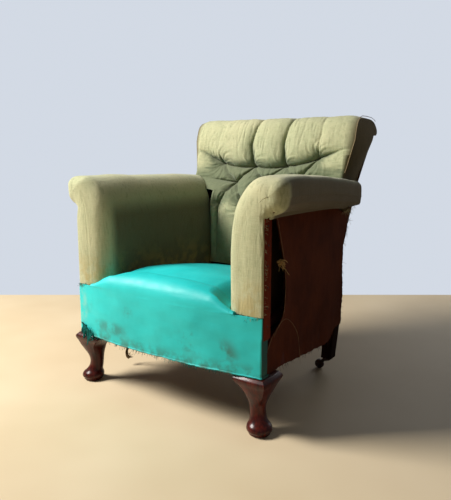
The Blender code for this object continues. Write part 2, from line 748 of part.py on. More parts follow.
def arm_pad(hand, side):
    sag = LEFT_ARM_SAG if side < 0 else 0.004
    front = [CORNER_Y + ahead for ahead in (0, 0.001, 0.005, 0.013, 0.025, 0.037, 0.055, 0.067)]
    stations = front + [0.10, 0.18, 0.27, 0.36, 0.44, 0.52, ARM_END]
    rings = []
    for y in stations:
        dip = sag * sin(pi * min(max((y - 0.06) / 0.42, 0), 1)) ** 2
        section = arm_section(y, dip, y == CORNER_Y)
        rings.append(mirrored([(tapered(x, y), y, z) for x, z in section], side))
    pad = loft("arm_pad_" + hand, rings, GREEN_CLOTH)
    inside = POST_INNER_X - 2 * GAP - CANVAS_THICK
    board_out = POST_INNER_X + ARM_BOARD_WIDTH + GAP
    clear = SIDE_X + 0.003
    cavity = [
        (inside, 0.1),
        (inside, ARM_BOARD_TOP + GAP),
        (board_out, ARM_BOARD_TOP + GAP),
        (board_out, ARM_BOARD_BOTTOM - GAP),
        (clear, ARM_BOARD_BOTTOM - GAP),
        (clear, 0.1),
    ]
    combine(pad, beam("arm_cavity_" + hand, side, cavity, POST_FRONT - GAP, 0.7, GREEN_CLOTH), "DIFFERENCE")
    shoulder = BACK_WIDE_FROM + BACK_SHOULDER
    over = BACK_WIDE_FROM + 2 * BACK_SHOULDER
    behind = [
        (REAR_POST_FRONT - GAP, 0.1),
        (REAR_POST_FRONT - GAP, BACK_WIDE_FROM - GAP),
        (back_front(BACK_WIDE_FROM) - GAP, BACK_WIDE_FROM - GAP),
        (back_front(shoulder) - GAP, shoulder),
        (back_front(over) - GAP, over),
        (0.9, over),
        (0.9, 0.1),
    ]
    half = BACK_WIDE_X + 0.0055
    rings = [[(x, y, z) for y, z in behind] for x in (-half, half)]
    combine(pad, loft("back_space_" + hand, rings, GREEN_CLOTH, smooth=False), "DIFFERENCE")


# Back: one padded piece that is narrow between the arms, spreads above them and rolls over the top

def back_front(z):
    steps = (
        (BACK_WIDE_FROM - BACK_SHOULDER, 0.0),
        (BACK_WIDE_FROM, 0.022),
        (BACK_WIDE_FROM + BACK_SHOULDER, 0.052),
        (TOTAL_HEIGHT - 0.071, 0.078),
        (TOTAL_HEIGHT - 0.015, 0.092),
    )
    return BACK_FRONT_Y + along(steps, z)


def back_half(z):
    narrow = tapered(ARM_INNER_X, REAR_POST_FRONT) - 0.002
    return along(
        (
            (BACK_BOTTOM, narrow),
            (BACK_WIDE_FROM - BACK_STEP, narrow),
            (BACK_WIDE_FROM, BACK_WIDE_X),
            (BACK_WIDE_FROM + BACK_SHOULDER, BACK_WIDE_X),
            (TOTAL_HEIGHT - 0.075, BACK_TOP_X),
            (TOTAL_HEIGHT, BACK_TOP_X),
        ),
        z,
    )


def back_pad():
    front = []
    rear = []
    low = BACK_WIDE_FROM - BACK_STEP
    turn = TOTAL_HEIGHT - ROLL_HEIGHT
    heights = between(BACK_BOTTOM, low, (0, 0.29, 0.6, 0.865, 1))
    heights += between(BACK_WIDE_FROM, turn, (0, 0.255, 0.51, 0.765, 0.97))
    for z in heights:
        front.append((back_front(z), z))
    under = CREST_TOP + GAP
    heights = between(BACK_BOTTOM, BEND_Z, (0, 0.8, 1)) + between(BEND_Z, low, (0.5, 1))
    heights += between(BACK_WIDE_FROM, under, (0, 0.285, 0.57, 0.8, 1))
    for z in heights:
        rear.append((pad_rear(z), z))
    roll = (
        (0.180, 0.014),
        (0.155, 0.002),
        (0.090, 0.0),
        (0.040, 0.008),
        (0.010, 0.023),
        (0.0, ROLL_HEIGHT),
    )
    front += [(BACK_REACH - ahead, TOTAL_HEIGHT - drop) for ahead, drop in roll]
    start = pad_rear(under)
    behind = rear_line(CREST_TOP) + GAP
    for share in (0.2, 0.4, 0.6, 0.8, 1.0):
        rear.append((start + (behind - start) * share, under))
    rear.append((BACK_REACH - 0.008, under + 0.003))
    steps = 10
    rings = []
    for i in range(steps + 1):
        s = 2 * i / steps - 1
        worn = 0.004 if abs(s) == 1 else 0
        ring = []
        for y, z in front:
            ring.append((s * back_half(z), min(y + worn, BACK_REACH), z - worn * (z > CREST_TOP + 0.03)))
        for y, z in rear[::-1]:
            ring.append((s * back_half(z), y, z))
        rings.append(ring)
    pad = loft("back_pad", rings, GREEN_CLOTH, fill=fill_across)
    for hand, side in (("left", -1), ("right", 1)):
        combine(pad, back_border(hand, side), "UNION")
    for name, x, z in button_places():
        face = Vector((x, back_front(z), z))
        sunk = BUTTON_SINK - BUTTON_THICK
        cylinder(name, BUTTON_RADIUS, sunk, BUTTON_SINK, face, (0, 1, 0), GREEN_CLOTH, sides=12)
        pit = turned(
            name + "_pit",
            [
                (0, -0.02),
                (BUTTON_RADIUS * 2.2, -0.02),
                (BUTTON_RADIUS + GAP, BUTTON_SINK - BUTTON_THICK - 0.002),
                (BUTTON_RADIUS + GAP, BUTTON_SINK + GAP),
                (0, BUTTON_SINK + GAP),
            ],
            face,
            (0, 1, 0),
            GREEN_CLOTH,
            sides=12,
        )
        combine(pad, pit, "DIFFERENCE")


def back_border(hand, side):
    """The strip that closes the back's side, outside the post, from the stuffing to the rear lining."""
    rings = []
    for z in between(BACK_WIDE_FROM + 0.001, CREST_TOP + 0.004, (0, 0.275, 0.555, 1)):
        inner = post_out(z) + GAP
        outer = back_half(z) - 0.001
        front = pad_rear(z) - BORDER_LAP
        rear = min(rear_line(z), CREST_REAR_Y) - LINING_THICK - GAP
        rings.append([(inner, front, z), (outer, front, z), (outer, rear, z), (inner, rear, z)])
    rings = [mirrored(ring, side) for ring in rings]
    return loft("back_border_" + hand, rings, GREEN_CLOTH, smooth=False)


def button_places():
    """Deep buttons in a diamond pattern: four above, three between, four below."""
    rows = (
        (TOTAL_HEIGHT - 0.145, 4, BUTTON_PITCH),
        (TOTAL_HEIGHT - 0.205, 3, BUTTON_PITCH),
        (BACK_WIDE_FROM - 0.060, 4, BUTTON_LOW_PITCH),
    )
    places = []
    for row, (z, count, step) in enumerate(rows):
        for column in range(count):
            x = step * (column - (count - 1) / 2)
            places.append((f"back_button_{row + 1}{column + 1}", x, z))
    return places


# Linings: coarse cloth on the outside of the arms and the back. The right one is torn at its front

TEAR = [
    (0.004, 0.232),
    (0.027, 0.258),
    (0.068, 0.281),
    (0.086, 0.296),
    (0.099, 0.352),
    (0.094, 0.422),
    (0.068, 0.502),
    (0.041, 0.570),
]


def side_lining(hand, side, front_edge):
    top = ARM_BOARD_BOTTOM - 4 * GAP
    rear = REAR_Y - LINING_THICK - GAP
    outline = list(front_edge)
    outline += [(rear_line(top) - LINING_THICK - GAP, top), (rear, BEND_Z), (rear, APRON_BOTTOM)]
    sheet = FRAME_X + GAP
    rings = []
    for x in (sheet, sheet + LINING_THICK):
        rings.append(mirrored([(tapered(x, y), y, z) for y, z in outline], side))
    return loft("outer_lining_" + hand, rings, LINING, smooth=False)


def linings():
    top = ARM_BOARD_BOTTOM - 4 * GAP
    low = CORNER_Y + APRON_WRAP + 0.004
    side_lining("right", 1, [(low, APRON_BOTTOM)] + TEAR + [(0.039, top)])
    post_edge = POST_FRONT + GAP
    whole = [(low, APRON_BOTTOM), (low, WRAP_TOP + 0.001), (post_edge, WRAP_TOP + 0.001), (post_edge, top)]
    side_lining("left", -1, whole)
    rings = []
    for side in (-1, 1):
        outer = []
        for z in (APRON_BOTTOM, BEND_Z, ARM_BOARD_BOTTOM, CREST_TOP):
            spread = max(z - ARM_BOARD_BOTTOM, 0) / (CREST_TOP - ARM_BOARD_BOTTOM)
            low = tapered(SIDE_X, rear_line(z))
            x = low + (BACK_TOP_X - LINING_THICK - low) * spread
            outer.append((side * x, rear_line(z), z))
        inner = [(x, y - LINING_THICK, z) for x, y, z in outer]
        rings.append(outer + inner[::-1])
    loft("back_lining", rings, LINING, fill=fill_across, smooth=False)


def straw_tuft():
    """A wisp of stuffing that pokes out of the torn side."""
    y, z = 0.066, 0.445
    start = tapered(POST_INNER_X, y) + GAP
    end = tapered(SIDE_X, y)
    rings = []
    sections = ((0, 0.010, 0.014), (0.4, 0.014, 0.019), (0.8, 0.011, 0.015), (1, 0.004, 0.006))
    for share, width, height in sections:
        x = start + (end - start) * share
        steps = [2 * pi * i / 8 for i in range(8)]
        rings.append([(x, y + width * cos(a), z + height * sin(a)) for a in steps])
    loft("straw_tuft", rings, STRAW)


def hanging_webbing():
    """A torn end of webbing that hangs under the left side rail and curls just above the floor."""
    y = 0.150
    x = RAIL_THICK / 2 - tapered(FRAME_X, y)
    half = 0.006
    route = ((0, 0), (0.003, 0.05), (-0.004, 0.09), (-0.010, 0.120), (-0.004, 0.134), (0.004, 0.136))
    top = RAIL_BOTTOM - GAP
    front = [(x + dx - 0.0012, y, top - dz) for dx, dz in route]
    back = [(x + dx + 0.0012, y, top - dz) for dx, dz in route]
    outline = front + back[::-1]
    rings = [[(px, py + shift, pz) for px, py, pz in outline] for shift in (-half, half)]
    loft("hanging_webbing", rings, WEBBING, fill=fill_across)


for hand, side in (("left", -1), ("right", 1)):
    front_leg("front_leg_" + hand, side)
    rear_post("rear_post_" + hand, side)
    castor(hand, side)
    arm_frame(hand, side)
    arm_pad(hand, side)

seat_rails()
back_frame()
webbing()
springs()
seat_canvas()
seat_stuffing()
seat_cover()
back_pad()
linings()
straw_tuft()
hanging_webbing()
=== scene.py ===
# %% [markdown]
# # The sagging old armchair
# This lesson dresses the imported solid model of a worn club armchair. Timber, castors and springs are already
# there as hard pieces, and they only need finishes. Every cloth piece is modelled anew, because cloth is what
# the eye reads first: a deep-buttoned back, two rolled arms, a sprung seat and torn linings.

from math import cos, pi, radians, sin

import bmesh
import bpy
import numpy as np
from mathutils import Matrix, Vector


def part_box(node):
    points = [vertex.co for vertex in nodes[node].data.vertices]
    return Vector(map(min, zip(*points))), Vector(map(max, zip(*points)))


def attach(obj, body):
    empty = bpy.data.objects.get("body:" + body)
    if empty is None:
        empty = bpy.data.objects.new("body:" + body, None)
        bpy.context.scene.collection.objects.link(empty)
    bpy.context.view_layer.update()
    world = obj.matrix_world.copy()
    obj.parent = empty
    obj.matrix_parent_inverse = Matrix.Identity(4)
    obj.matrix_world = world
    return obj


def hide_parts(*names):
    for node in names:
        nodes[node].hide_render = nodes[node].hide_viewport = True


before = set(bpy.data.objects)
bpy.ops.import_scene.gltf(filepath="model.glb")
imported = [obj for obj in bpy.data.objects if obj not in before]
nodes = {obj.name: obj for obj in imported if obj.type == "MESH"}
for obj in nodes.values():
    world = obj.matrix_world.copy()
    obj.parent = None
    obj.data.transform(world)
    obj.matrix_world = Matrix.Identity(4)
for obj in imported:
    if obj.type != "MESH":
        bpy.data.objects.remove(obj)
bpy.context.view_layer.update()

# %% [markdown]
# ## The viewpoint
# The picture was taken by someone standing at the chair's front right, looking down a little. The camera's
# place, turn and lens were worked out from the chair's corners and feet.

# %% Camera
MIDDLE_Y = 0.345  # the front feet stand this far in front of the middle of the chair
CAMERA_PLACE = (1.0247, -1.5022, 0.7182)
CAMERA_TURN = radians(35.237)
CAMERA_DIP = radians(9.825)

camera = bpy.data.objects.new("camera", bpy.data.cameras.new("camera"))
bpy.context.scene.collection.objects.link(camera)
camera.location = CAMERA_PLACE
camera.rotation_euler = (pi / 2 - CAMERA_DIP, 0, CAMERA_TURN)
camera.data.sensor_width = 36
camera.data.lens = 40.36
camera.data.clip_start = 0.01
bpy.context.scene.camera = camera
print("camera looks along", tuple(round(v, 3) for v in (-sin(CAMERA_TURN), cos(CAMERA_TURN))))

# %% [markdown]
# ## Light
# A large window on the viewer's left lights the front and the outside of the left arm, and leaves the right
# side in shade. One big soft lamp stands for it, and two weak ones stand for light that comes back from the room.

# %% Lamps
def soft_lamp(name, place, aim, size, power, tint):
    lamp = bpy.data.lights.new(name, "AREA")
    lamp.shape = "RECTANGLE"
    lamp.size, lamp.size_y = size
    lamp.energy = power
    lamp.color = tint
    holder = bpy.data.objects.new(name, lamp)
    bpy.context.scene.collection.objects.link(holder)
    holder.location = place
    holder.rotation_euler = (Vector(aim) - Vector(place)).to_track_quat("-Z", "Y").to_euler()
    return holder


soft_lamp("window", (-1.85, -1.55, 2.30), (0, 0, 0.35), (1.2, 1.1), 160, (1.0, 0.985, 0.95))
soft_lamp("room", (1.6, -2.4, 1.9), (0, 0, 0.35), (2.2, 2.2), 1.6, (0.92, 0.96, 1.0))
soft_lamp("far wall", (0.3, 2.9, 1.5), (0, 0, 0.35), (2.0, 1.6), 16, (0.94, 0.97, 1.0))

# %% [markdown]
# The world does two things. It gives the object a little even light, and it is the pale wall that the camera sees
# behind the chair. Light Path tells the two apart, so the wall adds no light. Polish mirrors the wall too, but
# dimly, because the side of the room that the chair faces is darker.

# %% World
WALL_IN_POLISH = 0.25

scene = bpy.context.scene
scene.view_settings.view_transform = "Standard"
world = bpy.data.worlds.new("room")
scene.world = world
world.use_nodes = True
tree = world.node_tree
tree.nodes.clear()
out = tree.nodes.new("ShaderNodeOutputWorld")
mix = tree.nodes.new("ShaderNodeMixShader")
light = tree.nodes.new("ShaderNodeBackground")
light.inputs["Color"].default_value = (0.86, 0.93, 1.0, 1)
light.inputs["Strength"].default_value = 0.04
wall = tree.nodes.new("ShaderNodeBackground")
wall.inputs["Color"].default_value = (0.65, 0.70, 0.78, 1)
wall.inputs["Strength"].default_value = 1.0
path = tree.nodes.new("ShaderNodeLightPath")
seen = tree.nodes.new("ShaderNodeMath")
seen.operation = "MAXIMUM"
tree.links.new(path.outputs["Is Camera Ray"], seen.inputs[0])
tree.links.new(path.outputs["Is Transmission Ray"], seen.inputs[1])
dimmed = tree.nodes.new("ShaderNodeMath")
dimmed.operation = "MULTIPLY"
dimmed.inputs[1].default_value = WALL_IN_POLISH
tree.links.new(path.outputs["Is Glossy Ray"], dimmed.inputs[0])
mirrored = tree.nodes.new("ShaderNodeMath")
mirrored.operation = "MAXIMUM"
tree.links.new(seen.outputs[0], mirrored.inputs[0])
tree.links.new(dimmed.outputs[0], mirrored.inputs[1])
tree.links.new(mirrored.outputs[0], mix.inputs["Fac"])
tree.links.new(light.outputs[0], mix.inputs[1])
tree.links.new(wall.outputs[0], mix.inputs[2])
tree.links.new(mix.outputs[0], out.inputs["Surface"])
print("world nodes:", len(tree.nodes))

# %% [markdown]
# ## Finishes
# Each finish is a small recipe: a base colour, one or two noises that move it, a roughness and a bump. The
# patterns read Object coordinates, in metres, so they have the real scale and stay on the piece from any side.

# %% Helpers for finishes
class Recipe:
    """A material's nodes, added one after another in plain words."""

    def __init__(self, name):
        self.material = bpy.data.materials.new(name)
        self.material.use_nodes = True
        self.tree = self.material.node_tree
        self.shader = self.tree.nodes["Principled BSDF"]
        self.place = self.node("ShaderNodeTexCoord").outputs["Object"]

    def node(self, kind, **settings):
        made = self.tree.nodes.new(kind)
        for name, value in settings.items():
            setattr(made, name, value)
        return made

    def join(self, source, target):
        self.tree.links.new(source, target)

    def stretched(self, scale, turn=(0, 0, 0), shift=(0, 0, 0), source=None):
        """Object coordinates, stretched and turned."""
        mapping = self.node("ShaderNodeMapping")
        mapping.inputs["Scale"].default_value = scale
        mapping.inputs["Rotation"].default_value = turn
        mapping.inputs["Location"].default_value = shift
        self.join(source or self.place, mapping.inputs["Vector"])
        return mapping.outputs["Vector"]

    def noise(self, scale, detail=3, rough=0.55, place=None, warp=0.0):
        made = self.node("ShaderNodeTexNoise")
        made.inputs["Scale"].default_value = scale
        made.inputs["Detail"].default_value = detail
        made.inputs["Roughness"].default_value = rough
        made.inputs["Distortion"].default_value = warp
        self.join(place or self.place, made.inputs["Vector"])
        return made.outputs["Fac"]

    def threads(self, scale, direction="X", warp=0.6, place=None):
        """Parallel threads: a sine wave along one axis."""
        made = self.node("ShaderNodeTexWave", wave_type="BANDS", bands_direction=direction)
        made.inputs["Scale"].default_value = scale
        made.inputs["Distortion"].default_value = warp
        made.inputs["Detail"].default_value = 1
        made.inputs["Detail Scale"].default_value = 1.5
        self.join(place or self.place, made.inputs["Vector"])
        return made.outputs["Fac"]

    def range(self, source, low, high, to_low=0.0, to_high=1.0):
        made = self.node("ShaderNodeMapRange", interpolation_type="SMOOTHSTEP")
        self.join(source, made.inputs["Value"])
        for name, value in (("From Min", low), ("From Max", high), ("To Min", to_low), ("To Max", to_high)):
            made.inputs[name].default_value = value
        return made.outputs["Result"]

    def sum(self, first, second, operation="ADD"):
        made = self.node("ShaderNodeMath", operation=operation)
        for socket, value in zip(made.inputs, (first, second)):
            if isinstance(value, (int, float)):
                socket.default_value = value
            else:
                self.join(value, socket)
        return made.outputs[0]

    def blend(self, share, first, second, kind="MIX"):
        """Mixes two colours, or a colour and a socket."""
        made = self.node("ShaderNodeMix", data_type="RGBA", blend_type=kind)
        for name, value in ((0, share), (6, first), (7, second)):
            if isinstance(value, (int, float)):
                made.inputs[name].default_value = value
            elif isinstance(value, tuple):
                made.inputs[name].default_value = (*value, 1)
            else:
                self.join(value, made.inputs[name])
        return made.outputs[2]

    def height(self):
        """Height above the floor, in metres."""
        parts = self.node("ShaderNodeSeparateXYZ")
        self.join(self.place, parts.inputs[0])
        return parts.outputs["Z"]

    def spot(self, centre, size):
        """1 at a centre, falling to 0 at the given half sizes along X, Y and Z."""
        shift = tuple(-c / s for c, s in zip(centre, size))
        local = self.stretched(tuple(1 / s for s in size), shift=shift)
        length = self.node("ShaderNodeVectorMath", operation="LENGTH")
        self.join(local, length.inputs[0])
        return self.range(length.outputs["Value"], 1.0, 0.25)

    def finish(self, colour, rough=0.6, bump=None, depth=0.001, strength=1.0):
        if isinstance(colour, tuple):
            self.shader.inputs["Base Color"].default_value = (*colour, 1)
        else:
            self.join(colour, self.shader.inputs["Base Color"])
        if isinstance(rough, (int, float)):
            self.shader.inputs["Roughness"].default_value = rough
        else:
            self.join(rough, self.shader.inputs["Roughness"])
        if bump is not None:
            relief = self.node("ShaderNodeBump")
            relief.inputs["Distance"].default_value = depth
            relief.inputs["Strength"].default_value = strength
            self.join(bump, relief.inputs["Height"])
            self.join(relief.outputs["Normal"], self.shader.inputs["Normal"])
        return self.material


def colour(red, green, blue):
    """A colour as it looks on paper, from 0 to 255, made linear."""
    return tuple(((v / 255 + 0.055) / 1.055) ** 2.4 if v > 10 else v / 3295 for v in (red, green, blue))


print("middle grey from 0 to 1:", round(colour(128, 128, 128)[0], 3))

# %% [markdown]
# ## Sage-green cloth
# The cover is a plain-woven cotton that has faded on top and taken up dirt low down. Two crossed sets of fine
# threads make the weave, long noises make the slubs and the fading, and the dirt grows towards the arms' feet.
# Two attributes of the meshes carry painted shade: one darkens the pleats, creases and middle of the back to a
# deeper green, and the other darkens the arms' insides, their outer sides and the back's ends to brown.

# %% Green cloth
def green_cloth():
    r = Recipe("sage cloth")
    fade = r.range(r.noise(3.2, 4, 0.6), 0.35, 0.70)
    slub = r.noise(60, 2, 0.6, r.stretched((1, 1, 7)))
    warp_threads = r.threads(330, "Z", 1.2)
    weft = r.sum(r.threads(330, "X", 1.2), r.threads(330, "Y", 1.2), "MAXIMUM")
    weave = r.sum(warp_threads, weft, "MULTIPLY")
    tone = r.blend(fade, colour(182, 185, 144), colour(212, 206, 164))
    tone = r.blend(r.range(slub, 0.3, 0.7, 0, 0.35), tone, colour(216, 212, 172))
    tone = r.blend(r.range(weave, 0, 1, 0.22, 0.0), tone, colour(112, 114, 76))
    crinkle = r.noise(48, 3, 0.6, r.stretched((2.4, 2.4, 0.45)), 0.7)
    # painted shade: the crinkles' hollows are darkened
    tone = r.blend(r.range(crinkle, 0.48, 0.30, 0, 0.35), tone, colour(128, 134, 98))
    # painted shade: a deeper green in the pleats, the creases and the middle of the back
    fold_shade = r.node("ShaderNodeAttribute", attribute_name="fold_shade").outputs["Fac"]
    tone = r.blend(r.range(fold_shade, 0.12, 0.85, 0, 0.80), tone, colour(82, 95, 69))
    # painted shade: brown on the arms' insides, their outer sides and the back's ends
    painted_shade = r.node("ShaderNodeAttribute", attribute_name="painted_shade").outputs["Fac"]
    tone = r.blend(r.range(painted_shade, 0.02, 0.98, 0, 0.92), tone, colour(84, 68, 40))
    low = r.range(r.height(), 0.46, 0.31)
    patch = r.range(r.noise(22, 4, 0.65), 0.42, 0.62)
    dirt = r.sum(r.sum(low, patch, "MULTIPLY"), 0.60, "MULTIPLY")
    tone = r.blend(dirt, tone, colour(176, 150, 84))
    relief = r.sum(r.sum(r.sum(weave, 0.30, "MULTIPLY"), slub), r.sum(crinkle, 2.2, "MULTIPLY"))
    made = r.finish(tone, 0.9, relief, 0.0011, 0.6)
    r.shader.inputs["Sheen Weight"].default_value = 0.20
    r.shader.inputs["Sheen Roughness"].default_value = 0.5
    r.shader.inputs["Specular IOR Level"].default_value = 0.25
    return made


GREEN = green_cloth()
print("made", GREEN.name)

# %% [markdown]
# ## Turquoise leathercloth
# The seat was recovered in coated cloth. It is smoother than the rest, with a soft gloss, a fine pebble grain,
# grey-green rubbed smudges along its front and dirt along its lower edge. Where it turns round the corners onto
# the chair's sides, it is painted nearly black, as painted shade.

# %% Leathercloth
def leathercloth():
    r = Recipe("turquoise leathercloth")
    tone = r.blend(r.range(r.noise(5, 4, 0.6), 0.3, 0.7), colour(14, 184, 182), colour(34, 206, 204))
    worn = r.range(r.noise(11, 5, 0.62), 0.44, 0.60)
    smudges = (
        ((-0.100, -0.40, 0.268), (0.030, 0.10, 0.020), 0.85),
        ((0.130, -0.40, 0.225), (0.085, 0.12, 0.040), 1.0),
        ((0.235, -0.38, 0.205), (0.050, 0.12, 0.060), 0.8),
        ((-0.180, -0.40, 0.205), (0.120, 0.10, 0.028), 0.60),
        ((-0.290, -0.38, 0.280), (0.035, 0.10, 0.060), 0.60),
    )
    for centre, size, share in smudges:
        mark = r.sum(r.sum(r.spot(centre, size), worn, "MULTIPLY"), share, "MULTIPLY")
        tone = r.blend(mark, tone, colour(50, 104, 90))
    rubbed_corner = r.spot((-0.312, -0.37, 0.245), (0.026, 0.10, 0.085))
    rubbed = r.sum(rubbed_corner, r.range(r.noise(26, 4, 0.6), 0.35, 0.6), "MULTIPLY")
    tone = r.blend(r.sum(rubbed, 0.5, "MULTIPLY"), tone, colour(150, 196, 176))
    # painted shade: where the cloth turns round the corners onto the sides, it is painted nearly black
    parts = r.node("ShaderNodeSeparateXYZ")
    r.join(r.place, parts.inputs[0])
    out_wide = r.range(r.sum(parts.outputs["X"], 0, "ABSOLUTE"), 0.318, 0.322)
    shaded_side = r.sum(r.sum(out_wide, r.range(parts.outputs["Y"], -0.3698, -0.3682), "MULTIPLY"), 0.92, "MULTIPLY")
    tone = r.blend(shaded_side, tone, colour(6, 44, 38))
    low = r.range(r.height(), 0.205, 0.158)
    grime = r.sum(r.sum(low, r.range(r.noise(34, 4, 0.6), 0.38, 0.62), "MULTIPLY"), 0.8, "MULTIPLY")
    tone = r.blend(grime, tone, colour(46, 100, 80))
    pebble = r.noise(900, 2, 0.5)
    crease = r.noise(38, 3, 0.5, r.stretched((1, 1, 2.5)))
    relief = r.sum(r.sum(pebble, 0.25, "MULTIPLY"), r.sum(crease, 0.9, "MULTIPLY"))
    rough = r.range(r.noise(16, 3, 0.6), 0.3, 0.7, 0.46, 0.60)
    made = r.finish(tone, rough, relief, 0.0012, 0.35)
    r.shader.inputs["Specular IOR Level"].default_value = 0.5
    return made


LEATHERCLOTH = leathercloth()
print("made", LEATHERCLOTH.name)

# %% [markdown]
# ## Timber, lining and the rest
# The front legs are polished mahogany: stretched noise for the grain, under a clear coat. Hidden timber is the
# same colour without polish. The linings are coarse red-brown cloth whose threads show.

# %% Other finishes
def timber(name, dark, pale, rough, coat, shine=0.20, along=(1, 1, 0.08)):
    r = Recipe(name)
    grain = r.noise(95, 5, 0.62, r.stretched(along), 0.4)
    broad = r.noise(9, 3, 0.5, r.stretched(along))
    tone = r.blend(r.range(grain, 0.32, 0.68), dark, pale)
    tone = r.blend(r.range(broad, 0.3, 0.75, 0, 0.5), tone, dark)
    made = r.finish(tone, rough, grain, 0.0004, 0.25)
    r.shader.inputs["Coat Weight"].default_value = coat
    r.shader.inputs["Coat Roughness"].default_value = 0.10
    r.shader.inputs["Specular IOR Level"].default_value = shine
    return made


def coarse_cloth(name, dark, pale, pitch, depth=0.0010):
    r = Recipe(name)
    upright = r.threads(pitch, "Y", 2.0)
    across = r.threads(pitch, "Z", 2.0)
    weave = r.sum(upright, across, "MULTIPLY")
    streaks = r.sum(r.noise(36, 4, 0.7, r.stretched((1, 1.6, 0.5))), 0.5, "MULTIPLY")
    stain = r.range(r.sum(r.noise(7, 4, 0.6), streaks), 0.50, 1.02)
    tone = r.blend(stain, dark, pale)
    tone = r.blend(r.range(weave, 0.0, 1.0, 0.5, 0.0), tone, tuple(v * 0.35 for v in dark))
    slub = r.noise(80, 2, 0.6, r.stretched((1, 1, 5)))
    made = r.finish(tone, 0.95, r.sum(weave, r.sum(slub, 0.6, "MULTIPLY")), depth, 0.6)
    r.shader.inputs["Specular IOR Level"].default_value = 0.15
    return made


def metal(name, tone, rough, rust):
    r = Recipe(name)
    spots = r.range(r.noise(160, 4, 0.7), 0.45, 0.65)
    made = r.finish(r.blend(spots, tone, rust), r.range(spots, 0, 1, rough, 0.85), spots, 0.0002, 0.4)
    r.shader.inputs["Metallic"].default_value = 0.75
    return made


MAHOGANY = timber("polished mahogany", colour(40, 10, 6), colour(92, 27, 15), 0.30, 0.13)
FRAME_WOOD = timber("unpolished timber", colour(62, 22, 14), colour(98, 40, 24), 0.75, 0.0)
POST_WOOD = timber("dark rear posts", colour(18, 8, 5), colour(38, 17, 10), 0.85, 0.0, 0.06)
LINING = coarse_cloth("brown lining", colour(88, 37, 15), colour(122, 58, 28), 230)
STRIP_CLOTH = coarse_cloth("tacking strip", colour(112, 36, 14), colour(150, 58, 26), 230)
HEM_CLOTH = coarse_cloth("torn leathercloth", colour(6, 84, 78), colour(20, 150, 136), 260)
PALE_THREAD = coarse_cloth("pale thread", colour(170, 146, 110), colour(210, 190, 150), 300)
HESSIAN = coarse_cloth("hessian", colour(58, 42, 26), colour(82, 62, 38), 160)
WEBBING = coarse_cloth("jute webbing", colour(92, 72, 46), colour(140, 112, 74), 150)
STRAW = coarse_cloth("straw", colour(236, 184, 110), colour(255, 226, 160), 120)
STEEL = metal("spring steel", colour(112, 104, 96), 0.4, colour(96, 52, 30))
IRON = metal("dark iron", colour(52, 46, 42), 0.45, colour(84, 48, 32))

NODE_FINISHES = {
    "mahogany": MAHOGANY,
    "frame_wood": FRAME_WOOD,
    "green_cloth": GREEN,
    "turquoise_leathercloth": LEATHERCLOTH,
    "brown_lining": LINING,
    "hessian": HESSIAN,
    "webbing": WEBBING,
    "straw": STRAW,
    "spring_steel": STEEL,
    "dark_iron": IRON,
}
print("finishes:", len(NODE_FINISHES))

# %% [markdown]
# Each solid piece carries the name of its finish in its first material, so a loop can give it the finished one.
# The rear posts get a much darker timber than the rest.

# %% Finishes for the solid pieces
for name, piece in nodes.items():
    slot = piece.data.materials[0].name.split(".")[0]
    piece.data.materials.clear()
    piece.data.materials.append(POST_WOOD if name.startswith("rear_post") else NODE_FINISHES[slot])
print("finished", len(nodes), "solid pieces")

# %% [markdown]
# ## Shapes from a grid
# Every cloth surface here starts as a flat grid. Each of its vertices has a share across and a share along, and
# a short function says where that share lies on the chair. That is quicker than pushing points by hand, and it
# keeps the flow of the faces along the flow of the cloth. First come the curves and waves that the shapes use.

# %% Curves and waves
TAPER = 0.06  # the chair narrows by this much on each side for each metre towards its back


def tapered(x, y):
    """Where something stands at y that would stand at x beside the front feet."""
    return x - TAPER * y


def flowing(at, knots, values):
    """A smooth curve through the values at the knots."""
    knots = np.asarray(knots, float)
    values = np.asarray(values, float)
    slopes = np.gradient(values, knots)
    at = np.clip(at, knots[0], knots[-1])
    i = np.clip(np.searchsorted(knots, at, side="right") - 1, 0, len(knots) - 2)
    span = knots[i + 1] - knots[i]
    s = (at - knots[i]) / span
    first = (1 + 2 * s) * (1 - s) ** 2 * values[i] + s * (1 - s) ** 2 * span * slopes[i]
    return first + s * s * (3 - 2 * s) * values[i + 1] + s * s * (s - 1) * span * slopes[i + 1]


def eased(at, low, high):
    """0 below low, 1 above high, and smooth between."""
    s = np.clip((at - low) / (high - low), 0, 1)
    return s * s * (3 - 2 * s)


def ripple(a, b, seed):
    """A fixed, natural-looking mix of waves between about -1 and 1."""
    total = np.zeros(np.broadcast(a, b).shape)
    for i in range(6):
        k = 1.0 + 0.83 * i
        turn = seed * 1.7 + i * 2.399
        total = total + np.sin(k * (a * cos(turn) + b * sin(turn)) + turn * 3.1) / (1 + 0.35 * i)
    return total / 3


print("a wave at three places:", np.round(ripple(np.array((0.0, 1.0, 2.0)), 0.0, 1.0), 2))

# %% [markdown]
# Next come the grid itself and the edit-mode steps that finish a piece: merging the seam of a tube, closing its
# ends and turning its faces outwards. An operator acts on all that is selected, so each starts by deselecting.

# %% Grids and edit mode
def grid(name, across, along, place):
    """A grid piece whose vertices are put where place(u, v) says, in the frame of the front feet."""
    bpy.ops.object.select_all(action="DESELECT")
    bpy.ops.mesh.primitive_grid_add(x_subdivisions=across, y_subdivisions=along, size=2)
    piece = bpy.context.object
    piece.name = name
    mesh = piece.data
    flat = np.empty(len(mesh.vertices) * 3)
    mesh.vertices.foreach_get("co", flat)
    flat = flat.reshape(-1, 3)
    points = np.stack(place((flat[:, 0] + 1) / 2, (flat[:, 1] + 1) / 2), axis=1)
    points[:, 1] -= MIDDLE_Y
    mesh.vertices.foreach_set("co", points.ravel())
    mesh.update()
    return piece


